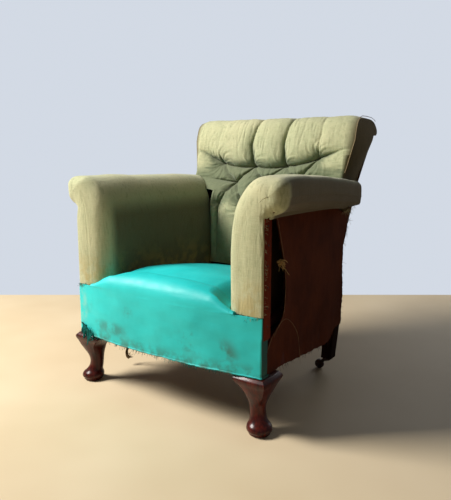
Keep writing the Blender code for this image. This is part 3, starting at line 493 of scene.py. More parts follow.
def edit(piece, *steps):
    """Runs edit-mode operators on the whole of a piece."""
    bpy.ops.object.select_all(action="DESELECT")
    piece.select_set(True)
    bpy.context.view_layer.objects.active = piece
    bpy.ops.object.mode_set(mode="EDIT")
    for step in steps:
        bpy.ops.mesh.select_all(action="SELECT")
        step()
    bpy.ops.object.mode_set(mode="OBJECT")
    return piece


def weld(distance=0.00002):
    bpy.ops.mesh.remove_doubles(threshold=distance)


def cap_ends():
    bpy.ops.mesh.select_all(action="DESELECT")
    bpy.ops.mesh.select_non_manifold(
        extend=False, use_wire=False, use_multi_face=False, use_non_contiguous=False, use_verts=False
    )
    bpy.ops.mesh.fill_holes(sides=0)


def face_out():
    bpy.ops.mesh.normals_make_consistent(inside=False)


print("edit-mode steps:", [step.__name__ for step in (weld, cap_ends, face_out)])

# %% [markdown]
# A finished piece needs its modifiers applied, its material, smooth shading up to an angle and the body that it
# rides on. Nearly all pieces ride on the chair itself.

# %% Finishing a piece
def paint(piece, name, values):
    """Writes one number for each point of a piece into an attribute, which a material can read."""
    attribute = piece.data.attributes.new(name, "FLOAT", "POINT")
    attribute.data.foreach_set("value", values.astype(np.float32))


def modifier(piece, kind, **settings):
    """Adds a modifier, sets it and applies it."""
    bpy.ops.object.select_all(action="DESELECT")
    piece.select_set(True)
    bpy.context.view_layer.objects.active = piece
    made = piece.modifiers.new(kind.title(), kind)
    for name, value in settings.items():
        setattr(made, name, value)
    bpy.ops.object.modifier_apply(modifier=made.name)
    return piece


def dress(piece, finish, body="chair", smooth=60):
    """Gives a finished piece its material, its shading and the body that it rides on."""
    piece.data.materials.clear()
    piece.data.materials.append(finish)
    bpy.ops.object.select_all(action="DESELECT")
    piece.select_set(True)
    bpy.context.view_layer.objects.active = piece
    bpy.ops.object.shade_smooth_by_angle(angle=radians(smooth))
    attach(piece, body)
    print(piece.name, len(piece.data.vertices), "points")
    return piece


def thin_cloth(name, across, along, place, thick, finish, smooth=40, offset=0):
    """A grid thickened into a thin sheet of cloth, with its faces turned outwards and its finish on."""
    piece = grid(name, across, along, place)
    modifier(piece, "SOLIDIFY", thickness=thick, offset=offset)
    edit(piece, face_out)
    return dress(piece, finish, smooth=smooth)


print("slots:", sorted(NODE_FINISHES))

# %% [markdown]
# ## Front legs
# A cabriole leg is bandsawn from square timber and rounded by hand. Its knee keeps the square's sharp corner,
# the ankle is round, and the foot is a turned pad. Rings that change from circle to square follow that.

# %% Front legs
FOOT_X = 0.315
KNEE_X = 0.2839
KNEE_Y = 0.0245
LEG_RINGS = (  # height, bend in towards the knee, half width, and squareness from 0 to 1
    (0, 0, 0.0245, 0), (0.003, 0, 0.0285, 0), (0.0075, 0, 0.0295, 0),
    (0.0088, 0, 0.0305, 0), (0.012, 0, 0.0333, 0), (0.018, 0.01, 0.0342, 0),
    (0.024, 0.04, 0.0325, 0), (0.033, 0.13, 0.0262, 0), (0.046, 0.27, 0.0222, 0),
    (0.062, 0.34, 0.0208, 0.05), (0.08, 0.31, 0.0222, 0.22), (0.1, 0.21, 0.0272, 0.5),
    (0.118, 0.15, 0.0325, 0.74), (0.132, 0.25, 0.0395, 0.9), (0.142, 0.38, 0.047, 0.97),
    (0.149, 0.46, 0.0502, 0.97), (0.1588, 0.52, 0.044, 0.95),
)
ring_z, ring_bend, ring_half, ring_square = zip(*LEG_RINGS)


def leg_place(side):
    def place(u, v):
        z = ring_z[-1] * v
        bend = flowing(z, ring_z, ring_bend)
        half = flowing(z, ring_z, ring_half)
        square = flowing(z, ring_z, ring_square)
        angle = 2 * pi * u
        c, s = np.cos(angle), np.sin(angle)
        reach = np.maximum(np.abs(c), np.abs(s))
        reach = reach + (1 - reach) * 0.10  # eases the corner
        radius = half * (1 + square * (1 / reach - 1))
        x = FOOT_X - bend * (FOOT_X - KNEE_X) + radius * c
        y = bend * KNEE_Y + radius * s
        return side * x, y, z

    return place


for hand, side in (("left", -1), ("right", 1)):
    leg = grid("polished_leg_" + hand, 96, 110, leg_place(side))
    edit(leg, weld, cap_ends, face_out)
    dress(leg, MAHOGANY, smooth=50)
    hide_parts("front_leg_" + hand)

# %% [markdown]
# ## Seat
# The seat is one sheet of leathercloth. It comes up from the hem, rolls over the front edge, crowns over the
# springs and sinks towards the back. Below the arms it is wide and turns round both corners.

# %% The seat's outline
SIDE_X = 0.334  # the chair's outer sides beside the front feet
SEAT_BOW = 0.030  # how far the front bows out in its middle
CORNER_Y = -0.025
SEAT_INNER = 0.225  # where the arms' inner faces stand
FRONT_ROUNDING = {-1: 0.055, 1: 0.035}  # the left arm's inner corner is rounder than the right one's
SEAT_REAR = 0.462


def front_line(x):
    return CORNER_Y - SEAT_BOW * (1 - (x / SIDE_X) ** 2)


def arm_inner(y, hand):
    rounding = np.where(np.asarray(hand) < 0, FRONT_ROUNDING[-1], FRONT_ROUNDING[1])
    reach = np.clip((y - CORNER_Y) / rounding, 0, 1)
    return SEAT_INNER + rounding * (1 - np.sqrt(1 - (1 - reach) ** 2))


def seat_height(s, y):
    sag = flowing(y, (-0.05, 0.0, 0.06, 0.18, 0.33, 0.46), (0.2, 0.10, 0.0, 0.10, 0.52, 1.0))
    fade = flowing(y, (-0.05, 0.06, 0.30, 0.46), (0.55, 1.0, 0.8, 0.3))
    ends = 0.030 * eased(np.abs(s), 0.70, 1.0) * eased(y, 0.16, 0.02)
    return 0.358 - 0.042 * sag + 0.024 * fade * (1 - s * s) - ends


for y in (0.03, 0.20, 0.45):
    print("the seat stands", round(float(seat_height(0.0, y)), 3), "m high, at", y, "m behind the front feet")

# %% [markdown]
# Along the sheet, v runs through five stretches: the hem's tuck, the apron, the neck where the sheet narrows to
# pass between the arms, the roll and the top. Across it, the last few columns turn round the chair's corners.

# %% Seat
HEM_END, NECK_START, ROLL_START, TOP_START = 0.025, 0.40, 0.42, 0.52
APRON_LOW = 0.1602
SHOULDER = 0.3178  # the apron's top, where the roll begins
ROLL_DEPTH = 0.064
CORE = 0.94  # the share of the width before the corners
APRON_HALF = 0.3342


def seat_place(u, v):
    s = 2 * u - 1
    hand = np.sign(s)
    share = np.abs(s)
    signed = hand * np.clip(share / CORE, 0, 1)
    beyond = np.clip((share - CORE) / 0.06, 0, 1)
    on_front = v <= ROLL_START
    # the hem and the apron
    hem_low = APRON_LOW + 0.0016 * ripple(signed * 9, signed * 4, 11.0)
    hem_low = hem_low + 0.0010 * ripple(signed * 44, signed * 3, 12.0)
    tucked = hem_low + np.interp(v, (0, 0.012, HEM_END), (0.007, 0, 0.001))
    apron_top = SHOULDER - 0.0004
    apron = hem_low + 0.001 + (apron_top - hem_low - 0.001) * np.clip((v - HEM_END) / 0.375, 0, 1)
    z = np.where(v <= HEM_END, tucked, apron)
    # the neck, the roll and the top
    narrowing = np.clip((v - NECK_START) / 0.02, 0, 1)
    z = np.where(v > NECK_START, apron_top + 0.0004 * narrowing, z)
    turn = pi / 2 * np.clip((v - ROLL_START) / 0.10, 0, 1)
    crest = seat_height(signed, 0.03)
    z = np.where((v > ROLL_START) & (v <= TOP_START), SHOULDER + (crest - SHOULDER) * np.sin(turn), z)
    neck = arm_inner(CORNER_Y, hand) - 0.004
    wide = APRON_HALF + (neck - APRON_HALF) * narrowing
    edge = front_line(signed * wide)
    y = np.where(on_front, edge, edge + ROLL_DEPTH * (1 - np.cos(turn)) ** 1.4)
    start = edge + ROLL_DEPTH
    y = np.where(v > TOP_START, start + (SEAT_REAR - start) * np.clip((v - TOP_START) / 0.48, 0, 1), y)
    y = y + 0.004 * np.clip(1 - v / 0.012, 0, 1)
    half = tapered(arm_inner(np.maximum(y, CORNER_Y), hand) - 0.003, y)
    x = signed * np.where(on_front, wide, np.minimum(wide, half))
    z = np.where(v > TOP_START, seat_height(signed, y), z)
    # slack in the cloth, and the turn round the corners
    drape = 0.0012 * ripple(x * 22, z * 30, 3.0) * (v < ROLL_START)
    drape = drape + 0.0016 * ripple(x * 14, y * 12, 5.0) * (v > 0.45)
    y = y - drape * (v <= 0.46)
    z = z + drape * (v > 0.46)
    wrap = 0.026 - 0.022 * eased(z, 0.255, 0.268)
    x = x + hand * 0.0012 * np.sin(pi / 2 * np.clip(beyond * 4, 0, 1)) * on_front
    y = y + wrap * beyond * on_front
    z = z - 0.02 * beyond * (v > 0.45)
    return x, y, z


seat = grid("seat_leathercloth", 190, 210, seat_place)
modifier(seat, "SOLIDIFY", thickness=0.0026, offset=-1, use_even_offset=False)
edit(seat, face_out)
dress(seat, LEATHERCLOTH, smooth=70)
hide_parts("seat_cover", "seat_stuffing")  # the padded cover stands for its stuffing too

# %% [markdown]
# ## Arms
# An arm's section is a stem with a scroll on top. Two curves draw it: one goes up the inner face and over the
# crest, the other goes up the outer face and round under the scroll, and they meet at the scroll's nose. The
# cloth is wrapped a finger's width round the front of the outer face, and behind that the arm is hollow.

# %% The arm's section
ARM_END = 0.575
PATH_SHARE = 0.47  # of u, for each of the two paths; the rest closes the foot
ARM_SHARES = (0, 0.12, 0.30, 0.45, 0.57, 0.65, 0.72, 0.78, 0.84, 0.90, 0.95, 0.98, 1)
INNER_Z = (0.3185, 0.36, 0.43, 0.49, 0.545, 0.586, 0.619, 0.638, 0.647, 0.648, 0.642, 0.627, 0.600)
INNER_OUT = (0, 0, -0.001, 0, 0.006, 0.018, 0.040, 0.062, 0.086, 0.122, 0.149, 0.160, 0.162)
OUTER_SHARES = (0, 0.28, 0.47, 0.60, 0.70, 0.82, 0.92, 1)
OUTER_Z = (0.3185, 0.42, 0.50, 0.548, 0.556, 0.564, 0.578, 0.600)
OUTER_X = (0.3342, 0.3342, 0.3342, 0.3350, 0.352, 0.370, 0.382, 0.387)
HOLLOW_SHARES = (0, 0.46, 0.461, 0.58, 0.581, 0.60, 0.601, 0.63, 0.64, 0.74, 0.84, 0.92, 1)
HOLLOW_X = (0.2855, 0.2855, 0.2855, 0.2855, 0.2855, 0.3582, 0.3582, 0.3375, 0.3375, 0.356, 0.370, 0.382, 0.387)
HOLLOW_Z = (0.262, 0.598, 0.5984, 0.5984, 0.5984, 0.5984, 0.5776, 0.5776, 0.5535, 0.5575, 0.564, 0.578, 0.600)
SCROLL_X, SCROLL_Z = 0.344, 0.602  # the scroll's middle
ARM_SLOPES = {  # how far the crest stands above or below its drawn height along each arm
    1: ((-0.03, 0.06, 0.143, 0.241, 0.35, 0.473, 0.583), (0.012, 0.017, 0.015, 0.010, 0.002, -0.008, -0.019)),
    -1: (
        (-0.03, 0.05, 0.12, 0.20, 0.30, 0.40, 0.50, 0.54),
        (0.002, 0.001, 0.002, -0.002, -0.004, -0.004, -0.010, -0.012),
    ),
}


def arm_section(side, u, y, hollow):
    """A point of the section at y, and the point on the section's middle line that the front is drawn in towards."""
    first = u <= PATH_SHARE
    t = np.where(first, u / PATH_SHARE, np.clip((2 * PATH_SHARE - u) / PATH_SHARE, 0, 1))
    slope = flowing(y, *ARM_SLOPES[side])
    inner = arm_inner(y, side)
    slimming = -0.014 * np.maximum(y, 0) / ARM_END
    foot = np.interp(y, (0.030, 0.042), (0.3185, 0.262))
    over = eased(t, 0.60, 0.86)
    reach = flowing(t, ARM_SHARES, INNER_OUT)
    ax = (inner + reach) * (1 - over) + (SEAT_INNER + reach) * over + slimming * eased(t, 0.84, 1)
    az = flowing(t, ARM_SHARES, INNER_Z)
    az = np.where(t < 0.12, foot + (0.36 - foot) * t / 0.12, az)
    bx = flowing(t, OUTER_SHARES, OUTER_X) + slimming * eased(t, 0.6, 1)
    bz = flowing(t, OUTER_SHARES, OUTER_Z)
    hx = np.interp(t, HOLLOW_SHARES, HOLLOW_X) + slimming * eased(t, 0.66, 1)
    hz = np.interp(t, HOLLOW_SHARES, HOLLOW_Z)
    hz = np.where(t < 0.46, foot + (0.598 - foot) * t / 0.46, hz)
    ox = np.where(hollow > 0, hx, bx)
    oz = np.where(hollow > 0, hz, bz)
    az = az + slope * eased(t, 0.50, 0.80)
    oz = oz + slope * np.where(hollow > 0, eased(t, 0.62, 0.68), eased(t, 0.45, 0.62))
    base = np.clip((u - 2 * PATH_SHARE) / 0.06, 0, 1)
    x = np.where(first, ax, ox + (ax - ox) * base)
    z = np.where(first, az, oz + (az - oz) * base)
    scroll = eased(t, 0.70, 0.88)
    middle_x = (ax + ox) / 2 * (1 - scroll) + (SCROLL_X + slimming) * scroll
    middle_z = (az + oz) / 2 * (1 - scroll) + (SCROLL_Z + slope) * scroll
    return first, t, x, z, middle_x, middle_z


print("an arm's highest point is drawn at", max(INNER_Z), "m")

# %% [markdown]
# Stations along the arm place that section from the front panel's middle to the rear. At the front, the section
# is drawn in towards its own middle line, and the edge is rounded, more at the scroll's nose than elsewhere.
# Behind the seat, the wall has to stop at the rear post while the roll goes on past it.

# %% Placing the arm's cloth
EDGE_ROUND = 0.006
NOSE_ROUND = 0.036
PANEL_CROWN = 0.005
WALL_REAR = 0.480
UNDER_ROLL_REAR = 0.545
painted_shades = {}  # painted shade: how much each point of the cloth is darkened to brown, most on the insides and the outer sides


def arm_place(side, stations):
    """Stations along v are (y, hollow or not, degrees round the front edge, share towards the panel's middle)."""
    rows = [np.array(values, float) for values in zip(*stations)]

    def place(u, v):
        column = np.rint(v * (len(stations) - 1)).astype(int)
        y, hollow, phase, panel = (values[column] for values in rows)
        first, t, x, z, mx, mz = arm_section(side, u, np.full_like(y, CORNER_Y), np.zeros_like(y))
        gap = np.hypot(x - mx, z - mz) + 1e-6
        rounding = np.minimum(EDGE_ROUND + (NOSE_ROUND - EDGE_ROUND) * eased(t, 0.52, 0.76), 0.9 * gap)
        y = y + rounding * (1 - np.cos(np.radians(phase))) - EDGE_ROUND * (phase >= 90)
        y = np.where(phase >= 90, y - (rounding - EDGE_ROUND) * eased(y - rounding, CORNER_Y, 0.10), y)
        first, t, x, z, mx, mz = arm_section(side, u, y, hollow)
        rim = rounding / gap
        pull = np.where(phase < 90, rim * (1 - np.sin(np.radians(phase))) + (1 - rim) * panel, 0)
        x = x + (mx - x) * pull
        z = z + (mz - z) * pull
        soft = 0.0010 * ripple(y * 24, z * 26, 2.0 + side) * eased(y, 0.0, 0.06)
        x = x - soft * first
        z = z + 0.0012 * ripple(x * 26, y * 22, 4.0 + side) * eased(t, 0.70, 0.85)
        y = y - PANEL_CROWN * np.clip((gap - rounding) / 0.045, 0, 1) ** 1.5 * np.sin(pi / 2 * panel)
        pleats = eased(x, 0.318, 0.340) * eased(z, 0.605, 0.575) * eased(z, 0.44, 0.53) * eased(y, 0.030, 0.0)
        y = y + 0.0020 * pleats * np.sin(2 * pi * x / 0.0125 + 1.2 * np.sin(z * 60)) * (side > 0)
        rucks = eased(y, 0.004, -0.018) * eased(np.abs(z - 0.43), 0.09, 0.02)
        y = y + 0.0008 * rucks * ripple(x * 40, z * 300, 31.0) * np.clip(0.3 + ripple(x * 20, z * 26, 33.0), 0, 1)
        shoulder = 0.468 + np.interp(z, (0.55, 0.60, 0.65, 0.764), (0, 0.022, 0.052, 0.078)) - 0.001
        inside = (tapered(x, y) < 0.3005) & (z > 0.5975)
        y = np.where(inside & (t > 0.5), np.minimum(y, shoulder), y)
        # painted shade: the inner face, the scroll's nose and the outer face are darkened to brown
        inside_shade = 0.84 * eased(t, 0.72, 0.52) * eased(y, -0.006, 0.045)
        nose_shade = 0.85 * eased(t, 0.925, 0.985) * eased(y, 0.004, 0.032)
        painted_shades[side] = np.where(first, np.maximum(inside_shade, nose_shade), 0.95 * eased(y, 0.000, 0.030))
        y = np.where(~first & (t < 0.885), np.minimum(y, UNDER_ROLL_REAR), y)
        behind_back = (z < 0.5530) | ((x < 0.3370) & (z <= 0.5985)) | (~first & (t < 0.70))
        y = np.where(behind_back, np.minimum(y, WALL_REAR), y)
        return side * tapered(x, y), y, z

    return place


def close_arm(piece, across, along):
    """Closes the rear end with narrow faces between the two paths, because the wall ends before the roll does."""
    turn = round(PATH_SHARE * across)
    work = bmesh.new()
    work.from_mesh(piece.data)
    work.verts.ensure_lookup_table()
    row = [work.verts[along * (across + 1) + i] for i in range(across + 1)]
    work.faces.new([row[across], row[1], row[2 * turn - 1]] + row[2 * turn : across])
    for k in range(1, turn - 1):
        work.faces.new((row[k], row[k + 1], row[2 * turn - k - 1], row[2 * turn - k]))
    work.faces.new((row[turn - 1], row[turn], row[turn + 1]))
    work.to_mesh(piece.data)
    work.free()


print("the wall ends", round(ARM_END - WALL_REAR, 3), "m before the roll")

# %% [markdown]
# The stations are close together on the panel and round the edge, and wider along the arm. The number of columns
# makes each path a whole number of steps long, so that both paths meet exactly on the nose.

# %% Arms
ARM_ACROSS = 300
WRAP_REAR = -0.0180  # the cloth is wrapped this far round the outer face

arm_stations = [(CORNER_Y, 0, 0, share) for share in (1.0, 0.9, 0.8, 0.7, 0.6, 0.5, 0.4, 0.3, 0.2, 0.1)]
arm_stations += [(CORNER_Y, 0, degrees, 0) for degrees in (0, 12, 24, 36, 48, 60, 72, 84)]
arm_stations += [(y, 0, 90, 0) for y in (CORNER_Y + EDGE_ROUND, -0.0186, WRAP_REAR)]
arm_stations += [(float(y), 1, 90, 0) for y in np.linspace(WRAP_REAR + 0.0001, 0.09, 24)]
arm_stations += [(float(y), 1, 90, 0) for y in np.linspace(0.096, ARM_END, 64)]

for hand, side in (("left", -1), ("right", 1)):
    arm = grid("arm_cloth_" + hand, ARM_ACROSS, len(arm_stations) - 1, arm_place(side, arm_stations))
    paint(arm, "painted_shade", painted_shades[side])
    close_arm(arm, ARM_ACROSS, len(arm_stations) - 1)
    edit(arm, weld, cap_ends, face_out)
    dress(arm, GREEN, smooth=50)
    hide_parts("arm_pad_" + hand)

# %% [markdown]
# ## Buttoned back
# Deep buttoning pulls the cloth in to the canvas at each button. Pleats run between neighbouring buttons, in
# diamonds, and from the top row straight over the rolled top. Each pleat is a line with a depth, and the cloth
# falls away from it in a round shoulder, so that a plump pillow stands between the lines.

# %% The back's outline
BACK_LOW = 0.325
BACK_WIDE_FROM = 0.600
FACE_KNOTS = (
    (0.468, 0.325), (0.468, 0.40), (0.468, 0.48), (0.468, 0.55), (0.490, 0.60), (0.520, 0.65), (0.534, 0.70),
    (0.545, 0.75), (0.555, 0.79), (0.566, 0.815), (0.588, 0.832), (0.620, 0.8352), (0.655, 0.8345),
    (0.690, 0.831), (0.716, 0.8225), (0.735, 0.809), (0.7448, 0.795), (0.742, 0.783), (0.733, 0.7775),
)
face_y = np.array([k[0] for k in FACE_KNOTS])
face_z = np.array([k[1] for k in FACE_KNOTS])
face_w = np.concatenate([[0], np.cumsum(np.hypot(np.diff(face_y), np.diff(face_z)))])
END_W = float(face_w[-1])
RAKE = (0.715 - 0.527) / (0.7755 - 0.42)


def up_face(z):
    """Distance along the cloth from the bottom of the back to a height on its face."""
    return float(np.interp(z, face_z[:9], face_w[:9]))


def rear_line(z):
    return 0.527 + RAKE * np.maximum(z - 0.42, 0)


def back_half(z):
    return np.interp(z, (0.325, 0.585, 0.600, 0.650, 0.760, 0.84), (0.1935, 0.1935, 0.297, 0.297, 0.318, 0.318))


print("cloth from seat to rolled edge:", round(END_W, 3), "m")

# %% [markdown]
# The buttons' places follow the photograph and not an exact lattice, because the old stuffing has shifted. Each
# pleat is a short bowed line between two places, with a depth at its ends and in its middle.

# %% Pleats
PLACES = (
    ((-0.192, 0.680), (-0.056, 0.671), (0.070, 0.674), (0.192, 0.701)),
    ((-0.117, 0.614), (0.0, 0.622), (0.128, 0.630)),
    ((-0.165, 0.540), (-0.055, 0.540), (0.055, 0.540), (0.165, 0.540)),
)
pins = [[(x, up_face(z)) for x, z in row] for row in PLACES]
pleats = []


def pleat(start, end, depth, width, bow=0.0):
    """A pleat from one point to another on the cloth, with a depth at each end and in its middle."""
    a, b = np.array(start), np.array(end)
    side = np.array((a[1] - b[1], b[0] - a[0])) / np.hypot(*(b - a))
    line = []
    for i in range(9):
        t = i / 8
        point = a + (b - a) * t + side * bow * 4 * t * (1 - t)
        line.append((point[0], point[1], float(np.interp(t, (0, 0.5, 1), depth))))
    pleats.append((line, width))


for left, right in zip(pins[0][:-1], pins[0][1:]):
    pleat(left, right, (0.025, 0.017, 0.025), 0.062, bow=-0.007)
for i, (x, w) in enumerate(pins[0]):
    bend = (-0.012, -0.010, -0.006, 0.012)[i]
    strength = (0.12, 1.0, 1.0, 0.30)[i]
    middle = (x + bend, w + 0.075)
    over = (x + bend * 0.2 + 0.008, w + 0.160)
    pleat((x, w), middle, (0.025, 0.017 * strength, 0.013 * strength), 0.050 if strength > 0.5 else 0.030)
    pleat(middle, over, (0.013 * strength, 0.010 * strength, 0.007 * strength), 0.040)
    pleat(over, (x + 0.010, w + 0.250), (0.007 * strength, 0.004 * strength, 0.001), 0.030)
for upper, lower in ((0, 0), (1, 0), (1, 1), (2, 1), (2, 2), (3, 2)):
    pleat(pins[0][upper], pins[1][lower], (0.025, 0.013, 0.026), 0.046)
for upper, lower in ((0, 0), (0, 1), (1, 1), (1, 2), (2, 2), (2, 3)):
    pleat(pins[1][upper], pins[2][lower], (0.026, 0.010, 0.019), 0.050)
for x, w in pins[2]:
    pleat((x, w), (x * 1.02, 0.03), (0.016, 0.006, 0.003), 0.030)
for side in (-1, 1):
    x, w = pins[0][0 if side < 0 else 3]
    pleat((x, w), (side * 0.290, w + (0.052 if side < 0 else 0.030)), (0.025, 0.013, 0.004), 0.050)
    x, w = pins[1][0 if side < 0 else 2]
    pleat((x, w), (side * 0.262, w + 0.020), (0.025, 0.011, 0.003), 0.048)
print(len(pleats), "pleats")

# %% [markdown]
# The depth at any point is a soft maximum over all pleats, so that crossing pleats join without a step. Small
# wrinkles fan out from each button, and the button's own pit goes a little deeper.

# %% Depth of the pleats
def pleat_depth(x, w):
    total = np.zeros_like(x)
    for line, width in pleats:
        best = np.zeros_like(x)
        for (ax, aw, ad), (bx, bw, bd) in zip(line[:-1], line[1:]):
            length = max((bx - ax) ** 2 + (bw - aw) ** 2, 1e-12)
            t = np.clip(((x - ax) * (bx - ax) + (w - aw) * (bw - aw)) / length, 0, 1)
            away = np.hypot(x - ax - (bx - ax) * t, w - aw - (bw - aw) * t)
            r = np.clip(1 - away / (1.15 * width), 0, 1)
            groove = 0.25 * np.exp(-((away / 0.0042) ** 2))
            shoulder = 0.7 * (1 - np.sqrt(1 - 0.97 * r * r)) + 0.5 * r * r
            best = np.maximum(best, (ad + (bd - ad) * t) * (shoulder + groove))
        total = total + best ** 8
    depth = 1.28 * total ** 0.125
    for row in pins:
        for px, pw in row:
            away = np.hypot(x - px, w - pw)
            turn = np.arctan2(w - pw, x - px)
            near = np.clip(1 - away / 0.085, 0, 1) * np.clip((away - 0.006) / 0.018, 0, 1)
            spread = turn + 0.25 * np.sin(away * 60 + px * 50)
            fan = np.sin(11 * spread + 40 * px) + 0.7 * np.sin(19 * spread + 3 + 90 * px)
            depth = depth + 0.0014 * near * fan
            depth = depth + 0.004 * np.exp(-((away / 0.009) ** 2))
    return depth


middle_pin = np.array([pins[1][1]])
print("the middle button's pit is", round(float(pleat_depth(middle_pin[:, 0], middle_pin[:, 1])[0]), 3), "m deep")

# %% [markdown]
# One grid is the whole pad. Its rows go up the face, over the roll and down again behind the stuffing, and its
# outer columns step out over the arms. Thin creases run up the top pillows and out towards both ends.

# %% Placing the back's cloth
BACK_ACROSS, BACK_ALONG = 250, 380
FACE_SHARE = 0.82  # of v, for the face and the roll; the rest is the rear side
fold_shades = {}  # painted shade: how much each point is darkened to a deeper green, in the pleats, the creases and the back's middle


def back_place(u, v):
    """Columns across; rows go up the face, over the roll, and back down behind the stuffing."""
    i = np.rint(u * BACK_ACROSS).astype(int)
    from_edge = np.minimum(i, BACK_ACROSS - i)
    hand = np.where(i < BACK_ACROSS / 2, -1, 1)
    on_face = v <= FACE_SHARE
    w = np.clip(v / FACE_SHARE, 0, 1) * END_W
    y = flowing(w, face_w, face_y)
    z = flowing(w, face_w, face_z)
    dy = (flowing(w + 0.001, face_w, face_y) - flowing(w - 0.001, face_w, face_y)) / 0.002
    dz = (flowing(w + 0.001, face_w, face_z) - flowing(w - 0.001, face_w, face_z)) / 0.002
    length = np.hypot(dy, dz) + 1e-9
    behind = np.clip((v - FACE_SHARE) / 0.18, 0, 1)
    back_z = np.interp(behind, (0, 0.12, 0.3, 1), (0.7762, 0.7758, 0.7758, BACK_LOW))
    back_y = rear_line(back_z) - 0.0412
    back_y = np.where(behind < 0.3, np.interp(behind, (0, 0.12, 0.3), (0.733, 0.714, back_y.max())), back_y)
    z = np.where(on_face, z, back_z)
    y = np.where(on_face, y, back_y)
    half = back_half(z)
    post = tapered(0.3314, rear_line(z)) - 0.0002
    wide = z > BACK_WIDE_FROM + 0.004
    step = np.where(wide, np.minimum(post, half - 0.002), half - 0.002)
    inner_share = np.clip((from_edge - 2) / (BACK_ACROSS / 2 - 2), 0, 1)
    x = np.where(from_edge == 0, half, np.where(from_edge <= 2, step, step * (1 - inner_share)))
    extended = (from_edge <= 1) & ~on_face & wide & (behind >= 0.3)
    y = np.where(extended, rear_line(z) - 0.0028, y)
    y = np.where((from_edge <= 1) & ~on_face & (behind < 0.3), np.maximum(y, rear_line(0.7758) - 0.0028), y)
    x = hand * x
    sink = pleat_depth(x, w)
    upright = (1 - np.abs(ripple(x * 100, w * 12, 21.0))) ** 5 * eased(z, 0.685, 0.720)
    level = (1 - np.abs(ripple(w * 150, x * 12, 23.0))) ** 5 * eased(np.abs(x), 0.165, 0.235)
    crease = np.maximum(upright, level) * np.clip(0.45 + 0.9 * ripple(x * 34, w * 30, 41.0), 0, 1)
    # painted shade: the pleats, the creases and a band across the back's middle are darkened to a deeper green
    middle = eased(z, 0.715, 0.635) * (1 - 0.90 * eased(z, 0.575, 0.50))
    fold_shades["back"] = np.clip((sink - 0.003) / 0.026 + 0.80 * middle + 0.45 * crease, 0, 1) * on_face
    # painted shade: the back's end columns are darkened to brown
    painted_shades["back"] = np.where(from_edge == 0, 0.85, 0.0)
    edge = np.clip((half - np.abs(x)) / 0.012, 0, 1)
    worn = 0.006 * (1 - np.sqrt(1 - (1 - edge) ** 2))
    fine = 0.0006 * ripple(x * 60, w * 60, 7.0) + 0.0009 * ripple(x * 25, w * 18, 8.0) + 0.0024 * crease
    upper = np.clip((w - pins[0][1][1]) / (face_w[10] - pins[0][1][1]), 0, 1)
    bulge = -0.003 - 0.010 * np.sin(pi * upper) * (1 - upper) ** 0.5
    move = (sink * edge + worn + (fine + bulge) * edge) * on_face * eased(w, 0.0, 0.03) * eased(END_W - w, 0.0, 0.03)
    lean = eased(z, 0.69, 0.77)  # straight in on the face, so that no fold turns over, and square to the roll
    y = y + move * (1 + (dz / length - 1) * lean)
    z = z - move * dy / length * lean
    return x, y, z


print("back's grid:", BACK_ACROSS, "by", BACK_ALONG)

# %% [markdown]
# The ends are stepped, and one big face over a stepped end would cut through the pad. So each end is closed in
# three flat parts, at the heights of the step, and the underside in narrow faces.

# %% Buttoned back
def nearest(row, level):
    """The place in a row of vertices of the one that stands nearest to a height."""
    return min(range(len(row)), key=lambda i: abs(row[i].co.z - level))


def close_back(piece, across, along):
    work = bmesh.new()
    work.from_mesh(piece.data)
    work.verts.ensure_lookup_table()
    last_face_row = int(FACE_SHARE * along)
    for column in (0, across):
        rows = [work.verts[row * (across + 1) + column] for row in range(along + 1)]
        front, rear = rows[: last_face_row + 1], rows[last_face_row + 1 :][::-1]
        cuts = [(0, 0)]
        cuts += [(nearest(front, level), nearest(rear, level)) for level in (0.586, 0.600)]
        cuts.append((len(front) - 1, len(rear) - 1))
        for (a, c), (b, d) in zip(cuts[:-1], cuts[1:]):
            work.faces.new(front[a : b + 1] + rear[c : d + 1][::-1])
    top = along * (across + 1)
    for column in range(across):
        first, second = work.verts[column], work.verts[column + 1]
        work.faces.new((second, first, work.verts[top + column], work.verts[top + column + 1]))
    work.to_mesh(piece.data)
    work.free()


back = grid("buttoned_back", BACK_ACROSS, BACK_ALONG, back_place)
paint(back, "fold_shade", fold_shades["back"])
paint(back, "painted_shade", painted_shades["back"])
close_back(back, BACK_ACROSS, BACK_ALONG)
edit(back, weld, face_out)
dress(back, GREEN, smooth=60)
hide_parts("back_pad")

# %% [markdown]
# ## Buttons
# Each button is a small domed mould covered with the same cloth and pulled in on twine until it nearly vanishes.
# At the bottom of each pit, a short cylinder with a bevelled rim makes one.

# %% Buttons
def pit_bottom(x, w):
    depth = float(pleat_depth(np.array([x]), np.array([w]))[0])
    return float(flowing(w, face_w, face_y)) + depth - 0.003, float(flowing(w, face_w, face_z))


for row, places in enumerate(pins, start=1):
    for column, (x, w) in enumerate(places, start=1):
        y, z = pit_bottom(x, w)
        bpy.ops.object.select_all(action="DESELECT")
        bpy.ops.mesh.primitive_cylinder_add(
            vertices=28, radius=0.0088, depth=0.0060, rotation=(pi / 2, 0, 0), location=(x, y - MIDDLE_Y, z)
        )
        button = bpy.context.object
        button.name = f"cloth_button_{row}{column}"
        bpy.ops.object.transform_apply(location=True, rotation=True, scale=True)
        modifier(button, "BEVEL", width=0.0022, segments=4, limit_method="ANGLE")
        dress(button, GREEN, smooth=60)
        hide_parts(f"back_button_{row}{column}")

# %% [markdown]
# ## Linings
# The outsides are closed with coarse brown cloth, tacked to the timber. The right one has torn away from the
# arm's post in a long lens, so its front edge follows the tear.

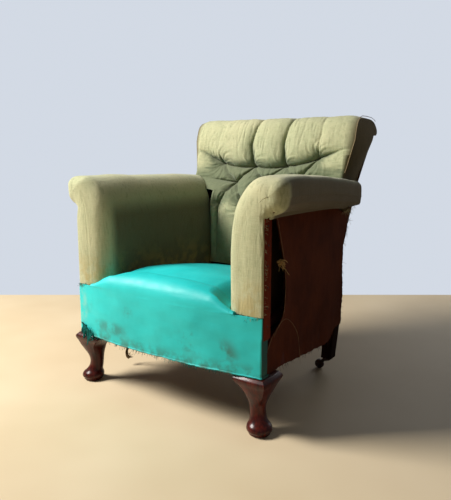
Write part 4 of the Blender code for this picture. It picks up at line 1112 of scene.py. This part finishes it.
# %% Linings
TEAR = (
    (0.0010, 0.1602), (0.0030, 0.200), (0.004, 0.232), (0.027, 0.258), (0.068, 0.281), (0.086, 0.296),
    (0.099, 0.352), (0.094, 0.422), (0.068, 0.502), (0.041, 0.570), (0.039, 0.5768),
)
tear_y = np.array([k[0] for k in TEAR])
tear_z = np.array([k[1] for k in TEAR])
HANG_Y = (0, 0.1, 0.2, 0.3, 0.38, 0.44, 0.478)  # the loose lower edge sinks between its ends
HANG_DROP = (0, 0.003, 0.011, 0.024, 0.030, 0.024, 0.002)
LINING_TOP = 0.5768


def worn_edge(z):
    """How far the torn lining bulges and frays out over the chair's right rear edge."""
    return 0.006 * eased(z, 0.320, 0.306) * eased(z, 0.190, 0.235) + 0.0042 * ripple(z * 105, z * 40, 8.0)


def lining_place(side, torn):
    def place(u, v):
        if torn:
            knots = np.concatenate([[0], np.cumsum(np.hypot(np.diff(tear_y), np.diff(tear_z)))])
            front_y = flowing(v * knots[-1], knots, tear_y)
            front_z = np.interp(v * knots[-1], knots, tear_z)
            front_y = front_y + 0.0016 * ripple(front_z * 300, front_z * 90, 3.0) * (front_z > 0.22)
        else:
            front_z = APRON_LOW + 0.0004 + (LINING_TOP - APRON_LOW) * v
            front_y = np.where(front_z < 0.261, 0.003, -0.0172)
        rear_z = APRON_LOW + 0.0004 + (LINING_TOP - APRON_LOW) * v
        rear_y = rear_line(rear_z) - 0.0025
        y = front_y + (rear_y - front_y) * u
        z = front_z + (rear_z - front_z) * eased(u, 0, 0.6)
        near_tear = np.clip(1 - u / 0.12, 0, 1) * torn
        wave = 0.0008 * ripple(y * 14, z * 14, 6.0) * np.sin(pi * np.clip(u, 0, 1))
        wave = wave + 0.003 * near_tear * np.sin(pi * v) ** 2
        if torn:
            loose = np.clip(1 - v / 0.25, 0, 1) ** 2
            drop = flowing(y, HANG_Y, HANG_DROP)
            ragged = 0.0034 * ripple(y * 130, y * 60, 5.0) * eased(y, 0.03, 0.08)
            z = z - (drop + ragged) * loose
            rear = np.clip((u - 0.8) / 0.2, 0, 1)
            y = y + worn_edge(z) * rear ** 2
            wave = wave + 0.0022 * ripple(y * 30, z * 9, 4.0) * np.clip(1 - v / 0.35, 0, 1)
        return side * (tapered(0.3322, y) + wave), y, z

    return place


for hand, side, torn in (("left", -1, False), ("right", 1, True)):
    place = lining_place(side, torn)
    lining = thin_cloth("side_lining_" + hand, 110, 110, place, 0.0012, LINING)
    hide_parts("outer_lining_" + hand)
print("the tear is", round(float(tear_z[-1] - tear_z[0]), 3), "m high and", round(float(tear_y.max()), 3), "m wide")

# %% [markdown]
# The rear lining is tacked from the seat's back rail up to the crest rail, between the raked posts. It widens
# towards the top with the back, and its right edge bulges with the side lining's.

# %% Rear lining
def back_lining_place(u, v):
    z = APRON_LOW + (0.7748 - APRON_LOW) * v
    spread = np.maximum(z - 0.578, 0) / (0.7755 - 0.578)
    low = tapered(SIDE_X, rear_line(z))
    half = low + (0.316 - low) * spread
    x = (2 * u - 1) * half
    wave = 0.0012 * ripple(x * 10, z * 12, 9.0) * np.sin(pi * u) * np.sin(pi * v)
    edge = eased(u, 0.94, 1.0) * eased(z, 0.600, 0.560)
    return x + 0.0015 * edge * ripple(z * 140, z * 20, 5.0), rear_line(z) - 0.001 + wave + worn_edge(z) * edge, z


back_lining = thin_cloth("rear_lining", 100, 110, back_lining_place, 0.0012, LINING)
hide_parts("back_lining")

# %% [markdown]
# ## Canvases
# Hessian lies over the springs and up the inside of each arm's timber. Little of it shows, in the tear and from
# below between the straps, so plain grids with slight waves are enough.

# %% Canvases
CANVAS_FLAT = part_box("seat_canvas")[0][2]


def arm_canvas_place(side):
    def place(u, v):
        y = -0.012 + 0.500 * u
        x = tapered(0.28685, y) + 0.0004 * ripple(y * 30, v * 9, 14.0) * np.sin(pi * u) * np.sin(pi * v)
        return side * x, y, 0.262 + 0.336 * v

    return place


def seat_canvas_place(u, v):
    s = 2 * u - 1
    y = 0.020 + 0.467 * v
    x = np.interp(np.abs(s), (0, 0.62, 0.74, 1), (0, 0.196, 0.222, 0.300))
    z = np.interp(np.abs(s), (0, 0.62, 0.74, 1), (0.2748, 0.2748, CANVAS_FLAT, CANVAS_FLAT)) + 0.0008
    return np.sign(s) * (x - TAPER * y * np.clip(x / 0.19, 0, 1)), y, z


for hand, side in (("left", -1), ("right", 1)):
    canvas = thin_cloth("hessian_arm_" + hand, 50, 40, arm_canvas_place(side), 0.0012, HESSIAN)
    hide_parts("arm_canvas_" + hand)

canvas = thin_cloth("hessian_seat", 100, 50, seat_canvas_place, 0.0012, HESSIAN)
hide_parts("seat_canvas")

# %% [markdown]
# ## Threads, tacks and torn edges
# What makes worn upholstery look worn is small: threads that have slipped out of an edge, a strip with its tacks
# left on the bare post, straw in the tear. A thread is drawn as a thin tube along a few points. Many threads of
# one kind are made together as one piece, and a seeded random generator gives each its own bend.

# %% Helper for threads
def strands(name, paths, thick, finish):
    """Thin tubes along paths of points, as one mesh piece."""
    line = bpy.data.curves.new(name, "CURVE")
    line.dimensions = "3D"
    line.bevel_depth = thick / 2
    line.bevel_resolution = 1
    line.use_fill_caps = True
    for points in paths:
        spline = line.splines.new("POLY")
        spline.points.add(len(points) - 1)
        for i, (knot, (x, y, z)) in enumerate(zip(spline.points, points)):
            knot.co = (x, y - MIDDLE_Y, z, 1)
            knot.radius = 1 - 0.4 * i / len(points)
    made = bpy.data.objects.new(name, line)
    bpy.context.scene.collection.objects.link(made)
    bpy.ops.object.select_all(action="DESELECT")
    made.select_set(True)
    bpy.context.view_layer.objects.active = made
    bpy.ops.object.convert(target="MESH")
    return dress(bpy.context.object, finish, smooth=80)


def smooth_path(knots, steps=24):
    """Points on a smooth curve through a few knots."""
    at = np.arange(len(knots), dtype=float)
    shares = np.linspace(0, len(knots) - 1, steps)
    return list(zip(*(flowing(shares, at, [k[axis] for k in knots]) for axis in range(3))))


def fray(dice, start, way, length, droop=0.5, curl=0.25):
    """A short loose thread from a point: it leaves in a direction, droops and curls."""
    way = np.array(way, float)
    way = way / np.linalg.norm(way) + dice.normal(0, 0.25, 3)
    bend = dice.normal(0, curl, 3)
    points = []
    for t in np.linspace(0, 1, 7):
        point = np.array(start) + way * length * t + bend * length * t * t
        point[2] -= droop * length * t * t
        points.append(tuple(point))
    return points


# %% [markdown]
# A strip of the old cloth still sits on the bare post in the tear, with six tacks down it. It is a narrow grid
# with a wavy torn edge, thickened outwards so that it stands on the timber.

# %% The strip and its tacks
def strip_place(u, v):
    y = -0.0200 + 0.0360 * u + 0.0008 * ripple(v * 40, v * 9, 3.0) * (u > 0.5)
    z = 0.2585 + 0.3045 * v
    return tapered(0.3342, y) + 0.0005 * ripple(y * 90, z * 40, 2.0), y, z


strip = thin_cloth("tacking_strip_right", 14, 120, strip_place, 0.0011, STRIP_CLOTH, 50, offset=1)

for number, z in enumerate((0.545, 0.497, 0.446, 0.392, 0.340, 0.292)):
    y = -0.003 + 0.002 * (number % 2)
    bpy.ops.object.select_all(action="DESELECT")
    bpy.ops.mesh.primitive_cylinder_add(
        vertices=14, radius=0.0026, depth=0.0016, rotation=(0, pi / 2, 0),
        location=(tapered(0.3354, y), y - MIDDLE_Y, z),
    )
    tack = bpy.context.object
    tack.name = f"strip_tack_{number + 1}"
    bpy.ops.object.transform_apply(location=True, rotation=True, scale=True)
    modifier(tack, "BEVEL", width=0.0006, segments=2, limit_method="ANGLE")
    dress(tack, IRON, smooth=60)

# %% [markdown]
# The stuffing is straw and hair, and a wisp of it sticks out through the tear. Stalks start close together and
# point outwards, each with a small bend.

# %% Straw in the tear
dice = np.random.default_rng(11)
straws = []
for _ in range(26):
    start = (
        0.327 + dice.uniform(-0.004, 0.006),
        0.064 + dice.uniform(-0.006, 0.007),
        0.444 + dice.uniform(-0.007, 0.006),
    )
    way = (1.0, dice.normal(0.15, 0.6), dice.normal(0.1, 0.45))
    straws.append(fray(dice, start, way, dice.uniform(0.012, 0.026), droop=0.25, curl=0.3))
tuft = strands("straw_wisp", straws, 0.0017, STRAW)
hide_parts("straw_tuft")
print(len(straws), "stalks")

# %% [markdown]
# Coarse cloth frays wherever it is cut or torn: along the tear, under its lower edge and down the rear corner.
# Two long threads have slipped out, one along the tear and one in a loop below it.

# %% Frays along the torn lining
def side_x(y):
    return tapered(0.3334, y)


dice = np.random.default_rng(5)
frays = []
for _ in range(70):  # the front edge of the tear
    z = dice.uniform(0.20, 0.57)
    y = float(np.interp(z, tear_z, tear_y))
    frays.append(fray(dice, (side_x(y), y, z), (0.15, -1, dice.normal(0, 0.4)), dice.uniform(0.004, 0.012)))
for _ in range(40):  # the lower edge and the rear corner
    y = dice.uniform(0.05, 0.46)
    z = 0.1605 - float(flowing(y, HANG_Y, HANG_DROP))
    way = (0.1, dice.normal(0, 0.5), -1)
    frays.append(fray(dice, (side_x(y), y, z + 0.002), way, dice.uniform(0.003, 0.009)))
for _ in range(70):  # the rear edge, most of it near the top
    z = 0.575 - 0.40 * dice.uniform(0, 1) ** 1.8
    y = float(rear_line(z)) - 0.004
    frays.append(fray(dice, (side_x(y) - 0.001, y, z), (0.25, 1, dice.normal(0, 0.5)), dice.uniform(0.004, 0.013)))
strands("lining_frays", frays, 0.0007, LINING)

pale = [smooth_path([(tapered(0.3322, y) + 0.0050, y - 0.0022, z) for y, z in TEAR[2:-1]], 40)]
LOOP = (
    (0.3345, 0.035, 0.255), (0.335, 0.055, 0.275), (0.336, 0.075, 0.288), (0.337, 0.10, 0.287),
    (0.336, 0.135, 0.262), (0.334, 0.165, 0.225), (0.333, 0.180, 0.175), (0.333, 0.185, 0.135),
)
pale.append(smooth_path(LOOP, 40))
dice = np.random.default_rng(7)
for _ in range(14):  # long whiskers at the rear and along the green edge
    z = dice.choice((0.56, 0.545, 0.53, 0.50, 0.475, 0.43))
    y = float(rear_line(z)) - 0.003
    pale.append(fray(dice, (side_x(y), y, z), (0.3, 1, dice.normal(0, 0.6)), dice.uniform(0.010, 0.020), droop=0.3))
strands("loose_threads", pale, 0.0008, PALE_THREAD)
print(len(frays), "short threads and", len(pale), "long ones")

# %% [markdown]
# The green cloth is cut off raw where it is wrapped round the arm, and it ends over the turquoise on the arms'
# fronts. Short threads of both cloths cross there and make the line uneven.

# %% Frays of the green cloth
dice = np.random.default_rng(9)
green = []
for _ in range(90):  # down the wrapped edge of the right arm
    z = dice.uniform(0.32, 0.56)
    way = (0.35, 1, dice.normal(-0.2, 0.6))
    green.append(fray(dice, (tapered(0.3344, -0.018), -0.019, z), way, dice.uniform(0.003, 0.010)))
for side in (-1, 1):
    for _ in range(46):  # where the arms' fronts end over the turquoise
        x = side * dice.uniform(0.236, 0.332)
        way = (side * dice.normal(0, 0.4), -0.5, -1)
        green.append(fray(dice, (x, CORNER_Y - 0.001, 0.3195), way, dice.uniform(0.003, 0.008)))
for _ in range(36):  # under the roll at the right arm's rear
    y = dice.uniform(0.50, 0.568)
    way = (0.1, dice.normal(0.3, 0.5), -1)
    green.append(fray(dice, (tapered(0.340, y), y, 0.541), way, dice.uniform(0.004, 0.014)))
for _ in range(30):  # on the roll's rear end
    z = dice.uniform(0.535, 0.60)
    start = (tapered(0.350, ARM_END) - 0.008, ARM_END - 0.002, z)
    green.append(fray(dice, start, (dice.normal(0, 0.5), 1, -0.5), dice.uniform(0.004, 0.012)))
strands("cloth_frays", green, 0.0007, GREEN)
teal = []
for side in (-1, 1):
    for _ in range(60):  # the leathercloth's raw edge under the arms' fronts
        x = side * dice.uniform(0.236, 0.333)
        way = (side * dice.normal(0, 1.0), -0.35, dice.normal(0, 0.8))
        teal.append(fray(dice, (x, CORNER_Y - 0.0012, 0.3180), way, dice.uniform(0.004, 0.011)))
for _ in range(40):  # round the inner corner of the right arm's foot
    x = dice.uniform(0.232, 0.262)
    start = (x, CORNER_Y - 0.003, 0.320 + dice.uniform(-0.002, 0.004))
    way = (dice.normal(0, 0.8), -0.8, dice.normal(0.1, 0.5))
    teal.append(fray(dice, start, way, dice.uniform(0.004, 0.010)))
strands("turquoise_frays", teal, 0.0010, HEM_CLOTH)
print(len(green), "green threads and", len(teal), "turquoise ones")

# %% [markdown]
# Two seams show as lines of their own: the pale worn edge that runs up the back's right end and over its roll,
# and the join down the left arm's front panel. Each is one thread along the cloth's surface.

# %% Seams
edge_seam = []
for w in np.linspace(up_face(0.655), float(face_w[14]), 40):
    y, z = float(flowing(w, face_w, face_y)), float(flowing(w, face_w, face_z))
    edge_seam.append((float(back_half(z)) + 0.0004, y + 0.0052, z + 0.0006))
strands("back_edge_seam", [edge_seam], 0.0026, PALE_THREAD)
PANEL_SEAM = (
    (-0.312, -0.0262, 0.607), (-0.301, -0.0290, 0.585), (-0.290, -0.0300, 0.545),
    (-0.284, -0.0302, 0.48), (-0.281, -0.0302, 0.40), (-0.280, -0.0302, 0.325),
)
strands("arm_front_seam", [smooth_path(PANEL_SEAM, 40)], 0.0012, GREEN)

# %% [markdown]
# ## The seat's torn hem
# Where the seat's corner has pulled off its tacks, narrow tongues of leathercloth hang over the left knee. Along
# the rest of the hem only short threads of its backing show.

# %% Hem
dice = np.random.default_rng(21)


def tongue_place(x0, top, length, wide, lean):
    def place(u, v):
        half = wide / 2 * (1 - 0.75 * v ** 1.5)
        x = x0 + (2 * u - 1) * half + lean * v * length + 0.002 * np.sin(9 * v + x0 * 300)
        y = front_line(x0) - 0.0035 - 0.007 * v + 0.002 * np.sin(7 * v + x0 * 200) - 0.001 * np.cos(pi * (u - 0.5))
        z = top - length * v
        return x, y, z

    return place


for number, (x0, top, length, wide, lean) in enumerate((
    (-0.318, 0.196, 0.034, 0.010, 0.15), (-0.309, 0.190, 0.046, 0.012, 0.05), (-0.300, 0.186, 0.038, 0.011, -0.20),
    (-0.292, 0.180, 0.050, 0.010, 0.10), (-0.283, 0.178, 0.034, 0.012, 0.25), (-0.272, 0.172, 0.024, 0.010, 0.30),
)):
    place = tongue_place(x0, top, length, wide, lean)
    name = f"hem_tongue_{number + 1}"
    tongue = thin_cloth(name, 6, 18, place, 0.0010, HEM_CLOTH, 70)

hem_threads = []
for _ in range(190):
    x = dice.uniform(-0.332, 0.332)
    start = (x, front_line(x) - 0.0008, APRON_LOW + 0.001)
    hem_threads.append(fray(dice, start, (dice.normal(0, 0.6), -0.2, -1), dice.uniform(0.002, 0.007)))
for _ in range(40):
    x = dice.uniform(-0.325, -0.265)
    start = (x, front_line(x) - 0.003, dice.uniform(0.16, 0.19))
    hem_threads.append(fray(dice, start, (dice.normal(0, 0.7), -0.5, -1), dice.uniform(0.008, 0.020)))
strands("hem_threads", hem_threads, 0.0008, HEM_CLOTH)

# %% [markdown]
# ## Webbing
# Under the seat, four straps of jute run each way, over and under each other. One has torn, and its end hangs
# under the left rail in a curl. Each strap is a narrow grid with the small waves of its neighbours in it.

# %% Webbing
WEB_LOW = 0.1584
WEB_ALONG = [0.2112 * (2 * i / 3 - 1) for i in range(4)]
WEB_FIRST, WEB_LAST = 0.0777, 0.452
WEB_ACROSS = [WEB_FIRST + (WEB_LAST - WEB_FIRST) * i / 3 for i in range(4)]


def lengthwise(index, x):
    def place(u, v):
        start = front_line(np.array(x)) + 0.012
        y = start + (0.5140 - start) * v
        weave = sum(np.exp(-(((y - at) / 0.022) ** 2)) * (-1) ** (k + index) for k, at in enumerate(WEB_ACROSS))
        return x + 0.025 * (2 * u - 1), y, WEB_LOW - 0.0006 * weave

    return place


def crosswise(index, at):
    def place(u, v):
        x = (2 * v - 1) * 0.300
        weave = sum(np.exp(-(((x - along) / 0.030) ** 2)) * (-1) ** (k + index) for k, along in enumerate(WEB_ALONG))
        return x, at + 0.025 * (2 * u - 1), WEB_LOW + 0.0006 * weave

    return place


routes = [(lengthwise(i, x), 0.53) for i, x in enumerate(WEB_ALONG)]
routes += [(crosswise(i, y), 0.60) for i, y in enumerate(WEB_ACROSS)]
for number, (place, length) in enumerate(routes):
    strap = thin_cloth(f"jute_strap_{number}", 8, 110, place, 0.0009, WEBBING, 50)
    if number == 0:
        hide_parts("seat_webbing")
print("a strap every", round(WEB_ALONG[1] - WEB_ALONG[0], 3), "m across the seat")

# %% [markdown]
# The torn end hangs from the left rail nearly to the floor, and the last part of it curls. Its threads are open
# at the tip, so a tuft of short ones is set there.

# %% Torn end of webbing
CURL_SHARES = (0, 0.35, 0.62, 0.82, 0.92, 1)


def torn_end_place(u, v):
    route_x = flowing(v, CURL_SHARES, (0, 0.003, -0.003, -0.010, -0.004, 0.004))
    drop = flowing(v, CURL_SHARES, (0, 0.050, 0.088, 0.118, 0.132, 0.1345))
    x = -0.3042 + route_x + 0.0016 * np.sin(20 * v + 6 * u)
    return x, 0.150 + 0.0065 * (2 * u - 1) * (1 + 0.25 * np.sin(14 * v)), 0.1598 - drop


torn_end = thin_cloth("torn_webbing_end", 6, 90, torn_end_place, 0.0018, WEBBING, 60)
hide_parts("hanging_webbing")
dice = np.random.default_rng(31)
end_frays = []
for _ in range(36):
    start = (-0.302 + dice.normal(0, 0.002), 0.150 + dice.normal(0, 0.005), 0.030 + dice.uniform(-0.003, 0.012))
    way = (dice.normal(0, 1), dice.normal(0, 1), 0.1)
    end_frays.append(fray(dice, start, way, dice.uniform(0.005, 0.012), droop=0.2))
end_threads = strands("torn_webbing_threads", end_frays, 0.0008, WEBBING)

# %% [markdown]
# ## Floor
# The floor is a plain pale ground that ends where the room's wall begins.

# %% Floor
def floor_finish():
    r = Recipe("pale floor")
    tone = r.blend(r.range(r.noise(1.4, 3, 0.6), 0.3, 0.7), colour(214, 192, 156), colour(224, 204, 170))
    return r.finish(tone, 0.6)


bpy.ops.object.select_all(action="DESELECT")
bpy.ops.mesh.primitive_plane_add(size=2)
floor = bpy.context.object
floor.name = "floor"
ahead = Vector((-sin(CAMERA_TURN), cos(CAMERA_TURN), 0))
right = Vector((cos(CAMERA_TURN), sin(CAMERA_TURN), 0))
for corner, (a, b) in zip(floor.data.vertices, ((-1, -1), (1, -1), (-1, 1), (1, 1))):
    corner.co = right * a * 4 + ahead * (0.98 if b > 0 else -5)
floor.data.materials.append(floor_finish())
